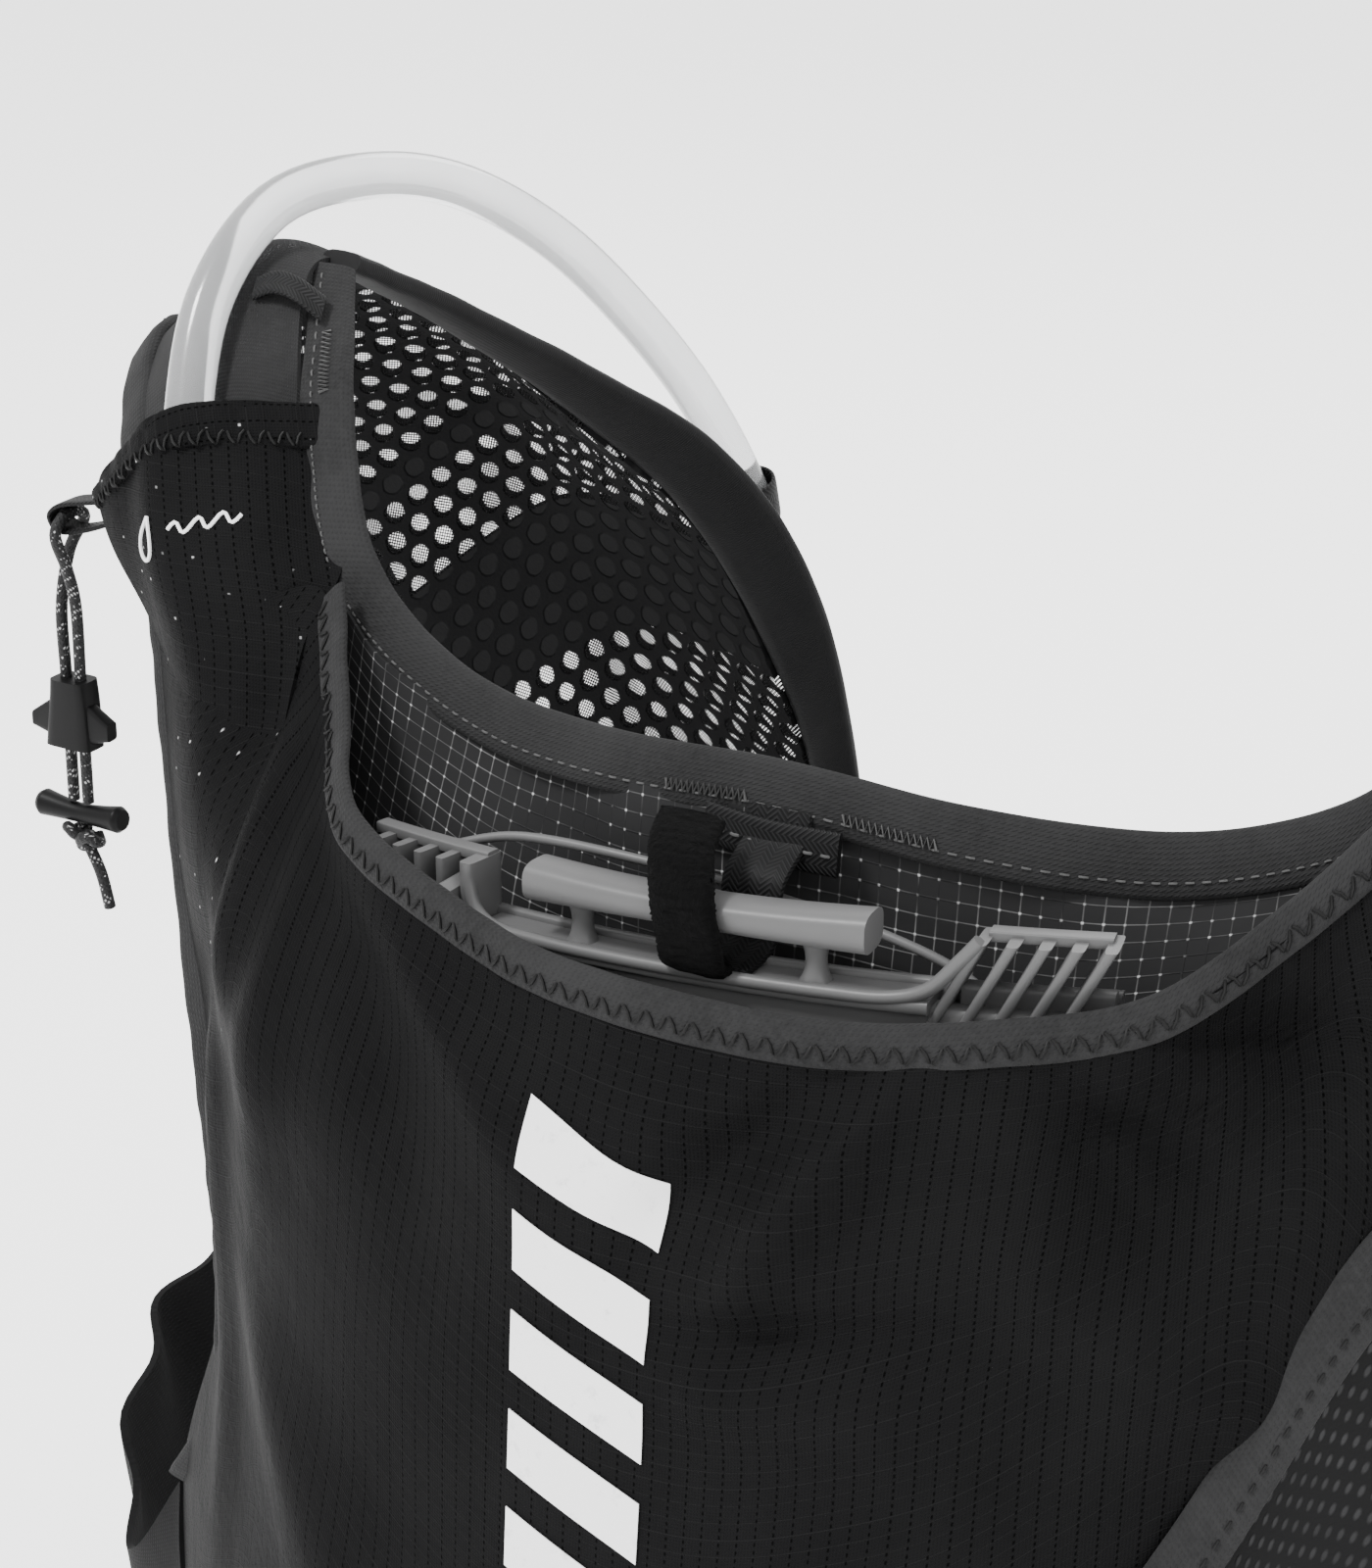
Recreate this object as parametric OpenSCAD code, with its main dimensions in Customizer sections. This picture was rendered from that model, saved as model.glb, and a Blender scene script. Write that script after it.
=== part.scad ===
// Running hydration pack held up by its shoulders, as it sits on a wearer.
// +Z up, -Y away from the wearer's back, +X the wearer's right. Origin between the shoulder crests.

/* [Fabric] */
// Thickness of the woven panels
panel_t = 1.2; // [0.8:0.1:1.6]
// Thickness of the spacer mesh in the front straps
mesh_t = 3; // [2:0.5:4]
// Thickness of the folded edge tapes
tape_t = 2.4; // [1.8:0.2:3]

/* [Reservoir] */
// Length of the slide-on clip along its curve
clip_len = 146; // [136:2:150]
// Height of the clip's end blocks
clip_h = 26; // [22:1:28]
// Width of the water bag
bag_w = 136; // [120:2:140]
// Thickness of the filled water bag
bag_t = 24; // [12:2:26]
// Outside diameter of the drinking hose
hose_d = 9.5; // [8.5:0.5:10]

/* [Cords] */
// Diameter of the elastic pole cords
cord_d = 2.5; // [2:0.1:2.6]
// Gap between a cord strand and the lock's bore, on the radius
lock_gap = 0.1; // [0.05:0.01:0.1]

/* [Sternum straps] */
// Radius of the round rails
rail_r = 1.5; // [1.2:0.1:1.7]
// Gap between a rail and its sliders, on the radius
rail_gap = 0.08; // [0.04:0.01:0.1]
// Height of the elastic webbing
web_h = 10; // [8:1:12]
// Height of the upper strap below the shoulder crest
upper_z = -160; // [-163:1:-155]
// Height of the lower strap below the shoulder crest
lower_z = -210; // [-212:1:-205]

/* [Hidden] */
clip_x = -4;
clip_r = 286;
clip_y = -82;
clip_top = -78;
flap_pivot = [0, -89, -82];
lock_x = 192;
lock_y = -20;
rail_x = 60;
rail_y = 111;
stud_x = 49;
stud_y = 111;
valve = [-86, 118, -206];

// ---- curve and sheet helpers ----
function unit(v) = v / max(norm(v), 1e-9);
function cr(a, b, c, d, t) =
    0.5 * (2 * b + (c - a) * t + (2 * a - 5 * b + 4 * c - d) * t * t + (3 * b - a - 3 * c + d) * t * t * t);
// Point at 0..1 along a smooth curve through the control points
function along(P, u) =
    let (m = len(P) - 1, k = min(floor(u * m), m - 1), t = u * m - k)
    cr(P[max(k - 1, 0)], P[k], P[k + 1], P[min(k + 2, m)], t);
// Mirror a list of right-hand points to the side s
function side(s, P) = [for (p = P) [s * p[0], p[1], p[2]]];
// A whole curve from its right half, centre point first
function both(P) = concat([for (i = [len(P) - 1 : -1 : 1]) [-P[i][0], P[i][1], P[i][2]]], P);
function moved(P, v) = [for (p = P) p + v];
// Grid of points on the smooth surface through a list of curves
function net(C, nu, nv) =
    [for (i = [0 : nu]) [for (j = [0 : nv]) along([for (c = C) along(c, j / nv)], i / nu)]];

// A closed sheet of thickness t about a grid of points
module sheet(G, t) {
    n = len(G);
    m = len(G[0]);
    N = [for (i = [0 : n - 1]) [for (j = [0 : m - 1]) unit(cross(
        G[min(i + 1, n - 1)][j] - G[max(i - 1, 0)][j],
        G[i][min(j + 1, m - 1)] - G[i][max(j - 1, 0)]))]];
    top = [for (i = [0 : n - 1]) for (j = [0 : m - 1]) G[i][j] + N[i][j] * t / 2];
    low = [for (i = [0 : n - 1]) for (j = [0 : m - 1]) G[i][j] - N[i][j] * t / 2];
    q = n * m;
    polyhedron(points = concat(top, low), convexity = 6, faces = concat(
        [for (i = [0 : n - 2]) for (j = [0 : m - 2]) [i * m + j, (i + 1) * m + j + 1, (i + 1) * m + j]],
        [for (i = [0 : n - 2]) for (j = [0 : m - 2]) [i * m + j, i * m + j + 1, (i + 1) * m + j + 1]],
        [for (i = [0 : n - 2]) for (j = [0 : m - 2]) [q + i * m + j, q + (i + 1) * m + j, q + (i + 1) * m + j + 1]],
        [for (i = [0 : n - 2]) for (j = [0 : m - 2]) [q + i * m + j, q + (i + 1) * m + j + 1, q + i * m + j + 1]],
        [for (i = [0 : n - 2]) [i * m, (i + 1) * m, q + (i + 1) * m]],
        [for (i = [0 : n - 2]) [i * m, q + (i + 1) * m, q + i * m]],
        [for (i = [0 : n - 2]) [i * m + m - 1, q + i * m + m - 1, q + (i + 1) * m + m - 1]],
        [for (i = [0 : n - 2]) [i * m + m - 1, q + (i + 1) * m + m - 1, (i + 1) * m + m - 1]],
        [for (j = [0 : m - 2]) [j, q + j, q + j + 1]],
        [for (j = [0 : m - 2]) [j, q + j + 1, j + 1]],
        [for (j = [0 : m - 2]) [(n - 1) * m + j, (n - 1) * m + j + 1, q + (n - 1) * m + j + 1]],
        [for (j = [0 : m - 2]) [(n - 1) * m + j, q + (n - 1) * m + j + 1, q + (n - 1) * m + j]]));
}

// A tape between two edge curves
module tape(A, B, n, t) {
    sheet(net([A, B], 1, n), t);
}

// Carry a side direction along a list of tangents
function carry(T, s, i = 0) =
    i == len(T) ? [] : let (c = unit(s - (s * T[i]) * T[i])) concat([c], carry(T, c, i + 1));

// A closed skin over a list of rings
module loft(R) {
    n = len(R);
    k = len(R[0]);
    polyhedron(points = [for (r = R) for (p = r) p], convexity = 8, faces = concat(
        [[for (j = [0 : k - 1]) j]],
        [[for (j = [k - 1 : -1 : 0]) (n - 1) * k + j]],
        [for (i = [0 : n - 2]) for (j = [0 : k - 1]) [i * k + j, (i + 1) * k + j, (i + 1) * k + (j + 1) % k]],
        [for (i = [0 : n - 2]) for (j = [0 : k - 1]) [i * k + j, (i + 1) * k + (j + 1) % k, i * k + (j + 1) % k]]));
}

// A round tube swept through control points, rings by count
module sweep(P, r, rings, sides) {
    C = [for (i = [0 : rings]) along(P, i / rings)];
    T = [for (i = [0 : rings]) unit(C[min(i + 1, rings)] - C[max(i - 1, 0)])];
    S = carry(T, [0.3, 1, 0.2]);
    loft([for (i = [0 : rings]) [for (j = [0 : sides - 1])
        let (a = -360 * j / sides)
        C[i] + r * (cos(a) * S[i] + sin(a) * cross(T[i], S[i]))]]);
}

// ---- shared outlines, right half ----
neck_top = [[0, -62, -53], [34, -58, -56], [66, -49, -57], [88, -41, -52],
    [102, -36, -42], [110, -30, -28], [117, -21, -14], [134, 4, 0]];
neck_low = [[0, -64, -64], [35, -61, -67], [68, -52, -68], [96, -45, -60],
    [112, -40, -48], [121, -33, -32], [128, -23, -17], [144, 4, 0]];
mouth = [[0, -98, -91], [28, -96, -90], [55, -89, -86], [80, -80, -79],
    [96, -61, -66], [109, -45, -51]];
armhole = [[153, -38, -61], [145, -46, -89], [136, -54, -131], [130, -58, -166],
    [129, -58, -192], [133, -57, -223], [150, -51, -250]];
hem_half = [[0, -80, -370], [50, -76, -370], [100, -62, -369], [146, -44, -366]];

// Rows of the two back panels: [centre y, centre z, side x, side y, side z]
shell_rows = [[-105, -118, 143, -48, -96], [-111, -150, 135, -54, -136], [-116, -200, 130, -57, -196],
    [-118, -262, 150, -50, -252], [-104, -322, 152, -47, -318], [-80, -370, 147, -43, -367]];
lining_rows = [[-69, -110, 143, -48, -96], [-71, -150, 135, -54, -136], [-72, -200, 130, -57, -196],
    [-71, -262, 150, -50, -252], [-68, -322, 152, -47, -318], [-66, -370, 147, -43, -367]];
function row_at(r, v, p) =
    [r[2] * v, r[3] + (r[0] - r[3]) * (1 - pow(abs(v), p)), r[1] + (r[4] - r[1]) * pow(abs(v), 3)];
function half_row(r, p, dy) = [for (k = [0 : 6]) row_at(r, k / 6, p) + [0, dy, 0]];

// ---- back ----
module back_lining() color([0.10, 0.10, 0.11]) {
    head = [[0, -63, -62], [34, -60, -64], [66, -51, -65], [94, -45, -58], [112, -40, -47],
        [133, -38, -50], [152, -37, -59]];
    sheet(net(concat([both(head)], [for (r = lining_rows) both(half_row(r, 2, 0.8))]), 18, 24), panel_t);
}

module outer_shell() color([0.07, 0.07, 0.08]) {
    head = concat([for (k = [0 : 5]) mouth[k] + [0, 0.5, -4]], [[131, -54, -57], [152, -40, -60]]);
    rows = [for (r = shell_rows) both([for (k = [0 : 7]) row_at(r, k / 7, 2.6)])];
    sheet(net(concat([both(head)], rows), 20, 28), panel_t);
}

module neckline_binding() color([0.23, 0.23, 0.24]) {
    tape(both(neck_top), both(neck_low), 56, tape_t);
}

module mouth_binding() color([0.23, 0.23, 0.24]) {
    top = [for (i = [0 : 5]) mouth[i] + [i < 2 ? 0 : -1.2 * i + 1, 1, 8.5 - 0.5 * i]];
    tape(both(top), both([for (p = mouth) p + [0, -0.8, 0]]), 44, tape_t);
}

module side_tape(s) color([0.26, 0.26, 0.27]) {
    tape(side(s, moved(armhole, [3, 0, 0])), side(s, moved(armhole, [-7, -2, 0])), 24, tape_t);
}
module left_side_binding() side_tape(-1);
module right_side_binding() side_tape(1);

module hem_binding() color([0.2, 0.2, 0.21]) {
    tape(both(moved(hem_half, [0, 6, 5])), both(moved(hem_half, [0, 5.5, -5])), 32, tape_t + 1);
}

// Slanted stretch pocket over the lower back, its mouth running down from the right shoulder side
function row_y(r, x) = r[3] + (r[0] - r[3]) * (1 - pow(min(abs(x) / r[2], 1), 2.6));
function row_z(r, x) = r[1] + (r[4] - r[1]) * pow(min(abs(x) / r[2], 1), 3);
function shell_y(x, z) = lookup(z, [for (r = shell_rows) [row_z(r, x), row_y(r, x)]]);
function on_shell(P, gap) = [for (p = P) [p[0], shell_y(p[0], p[1]) - gap, p[1]]];
mouth_line = [[137, -88], [116, -116], [94, -167], [64, -224], [22, -268], [-36, -294], [-96, -307], [-148, -312]];
foot_line = [[147, -362], [122, -365], [94, -366], [60, -367], [20, -368], [-36, -368], [-96, -366], [-147, -362]];
mid_line = [for (k = [0 : 7]) (mouth_line[k] + foot_line[k]) / 2];

module lower_pocket() color([0.12, 0.12, 0.13]) {
    sheet(net([on_shell(mouth_line, 3), on_shell(mid_line, 5), on_shell(foot_line, 1.6)], 12, 26), panel_t);
}

module lower_pocket_binding() color([0.26, 0.26, 0.27]) {
    across = on_shell(mouth_line, 3.6);
    tape(moved(across, [-4, 0, 4.5]), moved(across, [3, -0.6, -4.5]), 30, tape_t);
}

// ---- shoulders ----
yoke_rows = [
    [[112, -40, -48], [132, -38, -50], [152, -37, -59]],
    [[122, -32, -31], [144, -26, -26], [169, -23, -47]],
    [[138, -8, -5], [160, -6, -6], [183, -6, -32]],
    [[143, 10, -1], [163, 12, -1], [187, 11, -21]],
    [[136, 29, -13], [160, 32, -10], [185, 31, -29]]];

module yoke(s) color([0.2, 0.2, 0.21]) {
    sheet(net([for (r = yoke_rows) side(s, r)], 14, 8), panel_t);
}
module left_shoulder_yoke() yoke(-1);
module right_shoulder_yoke() yoke(1);

// Sleeve of shell cloth over the yoke, open at its upper hem for the hose
module sleeve(s) color([0.07, 0.07, 0.08]) {
    rows = [
        [[113, -46, -52], [132, -55, -56], [153, -41, -60]],
        [[118, -42, -40], [142, -49, -42], [164, -36, -51]],
        [[122, -36, -15], [150, -38, -20], [175, -29, -43]]];
    sheet(net([for (r = rows) side(s, r)], 10, 10), panel_t);
}
module left_port_sleeve() sleeve(-1);
module right_port_sleeve() sleeve(1);

module keeper(s) color([0.12, 0.12, 0.13]) {
    a = [[131, -12, -6], [137, -12, -3], [143, -11, -2.4], [148.5, -10.5, -4.6]];
    tape(side(s, a), side(s, moved(a, [2, 5, 3.2])), 10, 1.2);
}
module left_keeper_loop() keeper(-1);
module right_keeper_loop() keeper(1);

// ---- front straps ----
strap_rows = [
    [[135, 30, -14], [164, 34, -9], [193, 33, -32]],
    [[122, 54, -35], [157, 60, -27], [193, 56, -54]],
    [[105, 78, -63], [146, 83, -55], [189, 74, -80]],
    [[90, 93, -100], [134, 96, -95], [181, 86, -109]],
    [[81, 101, -140], [125, 103, -138], [172, 92, -150]],
    [[78, 104, -188], [119, 107, -189], [163, 93, -196]],
    [[83, 102, -246], [120, 104, -248], [157, 92, -250]],
    [[94, 94, -318], [126, 96, -322], [160, 87, -322]]];

module strap(s) color([0.05, 0.05, 0.06]) {
    sheet(net([for (r = strap_rows) side(s, r)], 28, 8), mesh_t);
}
module left_strap_mesh() strap(-1);
module right_strap_mesh() strap(1);

neck_edge = [[135, 7, 0.4], [128, 27, -10], [113, 56, -29], [94, 79, -50], [80, 93, -80], [73, 101, -122],
    [70, 105, -180], [74, 103, -244], [87, 95, -316]];
neck_seam = [[145, 8, 0.4], [136, 29, -14], [122, 56, -37], [104, 80, -66], [89, 94, -104], [82, 101, -138],
    [80, 104, -185], [84, 102, -244], [96, 94, -317]];

module neck_side(s) color([0.10, 0.10, 0.11]) {
    tape(side(s, neck_edge), side(s, neck_seam), 40, mesh_t + 1);
}
module left_strap_neck_binding() neck_side(-1);
module right_strap_neck_binding() neck_side(1);

arm_edge = [[161, -33, -57], [183, -10, -40], [195, 11, -29], [200, 33, -38], [200, 55, -58], [196, 73, -84],
    [189, 85, -112], [180, 92, -152], [171, 94, -198], [164, 93, -240]];
arm_seam = [[154, -32, -52], [176, -9, -29], [187, 12, -19], [191, 32, -28], [191, 55, -51], [187, 74, -78],
    [180, 87, -108], [170, 93, -150], [161, 95, -198], [154, 94, -242]];

module arm_side(s) color([0.2, 0.2, 0.21]) {
    tape(side(s, arm_edge), side(s, arm_seam), 40, mesh_t + 1);
}
module left_strap_arm_binding() arm_side(-1);
module right_strap_arm_binding() arm_side(1);

flask_rows = [
    [[100, 108, -202], [124, 124, -200], [151, 100, -204]],
    [[98, 109, -232], [124, 133, -232], [152, 100, -234]],
    [[100, 107, -274], [125, 129, -276], [153, 98, -274]],
    [[106, 98, -312], [128, 104, -316], [156, 91, -312]]];

module flask(s) color([0.14, 0.14, 0.15]) {
    sheet(net([for (r = flask_rows) side(s, r)], 12, 10), panel_t);
}
module left_flask_pocket() flask(-1);
module right_flask_pocket() flask(1);

module flask_tape(s) color([0.2, 0.2, 0.21]) {
    tape(side(s, moved(flask_rows[0], [0, 0, 4])), side(s, moved(flask_rows[0], [0, 0.4, -4])), 12, tape_t);
}
module left_flask_binding() flask_tape(-1);
module right_flask_binding() flask_tape(1);

// ---- wings under the arms ----
wing_rows = [
    [[150, -50, -252], [153, -47, -312], [147, -42, -366]],
    [[177, -36, -284], [180, -30, -324], [172, -27, -362]],
    [[198, 2, -252], [196, 4, -304], [186, 6, -354]],
    [[192, 48, -242], [188, 50, -296], [179, 51, -344]],
    [[171, 80, -240], [170, 80, -288], [166, 78, -330]],
    [[158, 92, -238], [160, 90, -282], [160, 87, -322]]];

module wing(s) color([0.09, 0.09, 0.10]) {
    sheet(net([for (r = wing_rows) side(s, r)], 20, 6), panel_t + 0.8);
}
module left_wing() wing(-1);
module right_wing() wing(1);

// ---- sternum straps ----
rail_top = -138;
rail_low = -236;

module rail(s) color([0.16, 0.16, 0.17]) {
    translate([s * rail_x, rail_y, rail_low]) cylinder(r = rail_r, h = rail_top - rail_low, $fn = 32);
    for (z = [rail_top, rail_low]) {
        hull() {
            translate([s * rail_x, rail_y, z]) cube([5, 5, 7], center = true);
            translate([s * 77, z > -150 ? 101 : 103, z]) cube([6, 3, 9], center = true);
        }
    }
}
module left_rail() rail(-1);
module right_rail() rail(1);

module slider_body(s, z) {
    difference() {
        translate([s * rail_x, rail_y, z]) cube([10, 9, 13], center = true);
        translate([s * rail_x, rail_y, z - 10]) cylinder(r = rail_r + rail_gap, h = 20, $fn = 48);
    }
}

// Left slider with two ears and the pin the strap swings on
module pin_slider(z) color([0.09, 0.09, 0.10]) {
    union() {
        slider_body(-1, z);
        for (d = [-1, 1]) {
            translate([-56, stud_y - 3, z + d * 5.25 - 1.25]) cube([7, 6, 2.5]);
            translate([-stud_x, stud_y, z + d * 5.25 - 1.25]) cylinder(r = 3, h = 2.5, $fn = 32);
        }
        translate([-stud_x, stud_y, z - 6]) cylinder(r = 1.4, h = 12, $fn = 32);
    }
}

// Right slider with a stud facing away from the wearer
module stud_slider(z) color([0.09, 0.09, 0.10]) {
    union() {
        slider_body(1, z);
        translate([43, stud_y - 3.5, z - 5.5]) cube([13, 2.4, 11]);
        translate([stud_x, stud_y - 2, z]) rotate([-90, 0, 0]) cylinder(r = 2.6, h = 5.2, $fn = 32);
    }
}

module knuckle(z) color([0.09, 0.09, 0.10]) {
    difference() {
        union() {
            translate([-stud_x, stud_y, z - 3.7]) cylinder(r = 3, h = 7.4, $fn = 32);
            translate([-stud_x, stud_y - 1.5, z - 3.7]) cube([12, 3, 7.4]);
        }
        translate([-stud_x, stud_y, z - 8]) cylinder(r = 1.48, h = 16, $fn = 32);
    }
}

module web(z) color([0.13, 0.13, 0.14]) {
    translate([-38, stud_y - 0.9, z - web_h / 2]) cube([76, 1.8, web_h]);
}

module eye(z) color([0.09, 0.09, 0.10]) {
    difference() {
        union() {
            translate([stud_x, stud_y - 0.8, z]) rotate([-90, 0, 0]) cylinder(r = 6, h = 2.8, $fn = 40);
            translate([37, stud_y - 1.6, z - 5.5]) cube([6, 3.6, 11]);
        }
        translate([stud_x, stud_y - 6, z]) rotate([-90, 0, 0]) cylinder(r = 3.4, h = 12, $fn = 32);
    }
}
module upper_left_slider() pin_slider(upper_z);
module upper_right_slider() stud_slider(upper_z);
module upper_strap_knuckle() knuckle(upper_z);
module upper_strap_web() web(upper_z);
module upper_strap_eye() eye(upper_z);
module lower_left_slider() pin_slider(lower_z);
module lower_right_slider() stud_slider(lower_z);
module lower_strap_knuckle() knuckle(lower_z);
module lower_strap_web() web(lower_z);
module lower_strap_eye() eye(lower_z);

// ---- pole cords on the arm edges ----
module cord_tab(s) color([0.09, 0.09, 0.10]) {
    difference() {
        hull() {
            translate([s * 168, lock_y - 2, -46]) cube([6, 9, 2.4], center = true);
            translate([s * (lock_x - 3), lock_y, -52.6]) rotate([90, 0, 0]) cylinder(r = 3.6, h = 8, center = true, $fn = 32);
        }
        translate([s * (lock_x - 1.9), lock_y, -52.6]) rotate([90, 0, 0]) cylinder(r = 1.4, h = 20, center = true, $fn = 32);
    }
}
module left_cord_tab() cord_tab(-1);
module right_cord_tab() cord_tab(1);

module pole_cord(s) color([0.12, 0.12, 0.13]) {
    loop_points = [[190.1, -20, -116], [190.1, -20, -104], [190.1, -20, -88], [190.1, -20, -73], [190.1, -22, -64],
        [190.1, -25, -56], [190.1, -22, -52.4], [190.1, -18, -52.4], [191, -14.6, -55],
        [193.9, -16.5, -62], [193.9, -20, -73], [193.9, -20, -88], [193.9, -20, -104], [193.9, -20, -116]];
    sweep(side(s, loop_points), cord_d / 2, 52, 8);
    sweep(side(s, [[190, -21, -125], [187, -21, -131], [186, -20, -139]]), cord_d / 2, 5, 8);
}
module left_pole_cord() pole_cord(-1);
module right_pole_cord() pole_cord(1);

module cord_lock(s) color([0.06, 0.06, 0.07]) {
    difference() {
        union() {
            translate([s * lock_x, lock_y, -96]) cube([11, 7, 15], center = true);
            translate([s * (lock_x - 6.5), lock_y, -92]) cube([3, 5, 6], center = true);
        }
        for (d = [-1.9, 1.9]) {
            translate([s * lock_x + d, lock_y, -110]) cylinder(r = cord_d / 2 + lock_gap, h = 30, $fn = 32);
        }
    }
}
module left_cord_lock() cord_lock(-1);
module right_cord_lock() cord_lock(1);

module toggle(s) color([0.06, 0.06, 0.07]) {
    union() {
        translate([s * lock_x, lock_y, -118.6]) rotate([0, 90, 0]) cylinder(r = 2.6, h = 22, center = true, $fn = 32);
        translate([s * (lock_x - 1), lock_y, -122.5]) sphere(r = 4, $fn = 24);
    }
}
module left_cord_toggle() toggle(-1);
module right_cord_toggle() toggle(1);

// ---- reservoir ----
function arc_y(x) = clip_y + clip_r - sqrt(clip_r * clip_r - (x - clip_x) * (x - clip_x));

// A piece of the curved bar between two x positions about its middle
module bar_piece(x0, x1, depth, z0, z1) {
    intersection() {
        translate([clip_x, clip_y + clip_r, z0]) difference() {
            cylinder(r = clip_r + depth / 2, h = z1 - z0, $fn = 180);
            translate([0, 0, -1]) cylinder(r = clip_r - depth / 2, h = z1 - z0 + 2, $fn = 180);
        }
        translate([clip_x + x0, clip_y - 20, z0]) cube([x1 - x0, 60, z1 - z0]);
    }
}

module reservoir_clip() color([0.45, 0.45, 0.46]) {
    difference() {
        union() {
            bar_piece(-clip_len / 2, clip_len / 2, 11, clip_top - clip_h, clip_top - 16);
            bar_piece(-clip_len / 2, -45, 11, clip_top - 17, clip_top);
            bar_piece(45, clip_len / 2, 11, clip_top - 17, clip_top);
            bar_piece(-33, 33, 8, clip_top, clip_top + 7);
            for (x = [-23, 23]) {
                translate([clip_x + x - 2.5, clip_y - 2.2, clip_top - 18]) cube([5, 6, 19]);
            }
        }
        for (k = [0 : 4]) {
            for (d = [-1, 1]) {
                translate([clip_x + d * (49 + k * 5.4) - 1.3, clip_y - 9, clip_top - 15]) cube([2.6, 8, 20]);
            }
        }
        translate([clip_x - clip_len / 2 + 2, clip_y - 1.4, clip_top - clip_h - 1]) cube([clip_len - 4, 12, 5]);
    }
}

module reservoir_bag() color([0.75, 0.78, 0.8]) {
    z0 = clip_top - clip_h - 1.5;
    loft([for (i = [0 : 14])
        let (u = i / 14, w = bag_w / 2 * (1 - 0.06 * pow(2 * u - 1, 4)), t = 0.8 + bag_t / 2 * pow(sin(180 * u), 0.7))
        [for (j = [0 : 23]) let (a = 15 * j)
            [-2 + w * cos(a), -89 - 3 * sin(180 * u) + t * sin(a) * (0.75 + 0.25 * abs(sin(a))), z0 - u * 238]]]);
}

module clip_tether() color([0.4, 0.4, 0.41]) {
    sweep([[-62, -72, -79], [-48, -70, -75], [-24, -70, -74], [0, -70.3, -74.5], [24, -70, -77],
        [42, -70, -82], [54, -73, -92]], 1, 30, 8);
}

module hang_tab_anchor() color([0.11, 0.11, 0.12]) {
    yz = [[-64.5, -61], [-67, -66], [-73.6, -70], [-75.3, -75], [-75.6, -79], [-78.5, -81.4], [-83, -82], [-86.5, -82]];
    tape([for (p = yz) [-7, p[0], p[1]]], [for (p = yz) [7, p[0], p[1]]], 24, 1.6);
}

// Hook-and-loop flap folded up in front of the clip's handle
module hang_tab_flap() color([0.05, 0.05, 0.06]) {
    yz = [[0, 0], [0.4, 5], [0.2, 10], [2.6, 15], [8, 18.5], [14, 20.4]];
    union() {
        tape([for (p = yz) flap_pivot + [-6.7, p[0], p[1]]], [for (p = yz) flap_pivot + [6.7, p[0], p[1]]], 16, 2);
        translate(flap_pivot - [6.7, 0, 0]) rotate([0, 90, 0]) cylinder(r = 1, h = 13.4, $fn = 24);
    }
}

module reservoir_outlet() color([0.3, 0.3, 0.31]) {
    difference() {
        union() {
            translate([-38, -84.5, -322]) rotate([0, -90, 0]) cylinder(r = 6.5, h = 8, $fn = 40);
            translate([-37, -82.2, -322]) rotate([0, -90, 0]) cylinder(r = 3.8, h = 38, $fn = 40);
            translate([-83, -88.4, -328.6]) cube([13, 12.8, 13.4]);
            translate([-80, -82, -321.8]) rotate([0, -90, 0]) cylinder(r = 3.1, h = 9, $fn = 32);
        }
        translate([-79, -90, -324.2]) cube([6, 4.9, 4.4]);
    }
}

module connector_button() color([0.5, 0.5, 0.5]) {
    translate([-78.7, -89.7, -323.9]) cube([5.4, 2.9, 3.8]);
}

// Drinking hose: up inside the pocket, out of the left sleeve, over the shoulder and down the strap
hose_points = [[-83, -82, -322], [-91, -82, -319], [-98, -80.5, -306], [-100, -79, -285], [-99, -79, -240],
    [-98, -79, -200], [-98, -77, -150], [-101, -71, -115], [-110, -60, -90], [-122, -51.3, -70], [-134, -46, -54],
    [-144, -38, -39], [-151, -29, -24], [-156, -14, -4], [-155, 6, 10], [-147, 26, 13], [-139, 47, 8],
    [-129, 66, -5], [-119, 81, -23], [-109, 95, -46], [-101, 106, -74], [-94, 113, -110], [-88, 117, -150],
    [-86, 118, -180], [-86, 118, -208]];

module hose() color([0.7, 0.7, 0.72]) {
    sweep(hose_points, hose_d / 2, 78, 12);
}

module hose_loops() color([0.09, 0.09, 0.10]) {
    for (p = [[-102.4, 104.4, -69, 16], [-89.2, 116.6, -141, 5]]) {
        translate([p[0], p[1], p[2]]) rotate([p[3], 0, 0]) difference() {
            union() {
                cylinder(r = 6.4, h = 10, center = true, $fn = 40);
                translate([-6, -8.4, -5]) cube([12, 6, 10]);
            }
            cylinder(r = 5.4, h = 14, center = true, $fn = 40);
        }
    }
}

module bite_valve_body() color([0.2, 0.2, 0.21]) {
    translate(valve) union() {
        translate([0, 0, -2.5]) cylinder(r = 3.2, h = 8, $fn = 32);
        translate([0, 0, -26]) cylinder(r = 6.6, h = 24, $fn = 40);
        translate([0, 0, -34]) cylinder(r = 4, h = 9, $fn = 32);
    }
}

module shutoff_lever() color([0.35, 0.35, 0.36]) {
    translate(valve + [0, 7, -14]) union() {
        rotate([-90, 0, 0]) cylinder(r = 5, h = 3, $fn = 40);
        translate([-1.6, 0, -13]) cube([3.2, 3, 13]);
    }
}

module bite_sleeve() color([0.6, 0.62, 0.65]) {
    translate(valve + [0, 0, -27]) rotate([180, 0, 0]) difference() {
        cylinder(r1 = 7.6, r2 = 6, h = 24, $fn = 40);
        translate([0, 0, -1]) cylinder(r = 4.1, h = 9, $fn = 32);
    }
}

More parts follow.
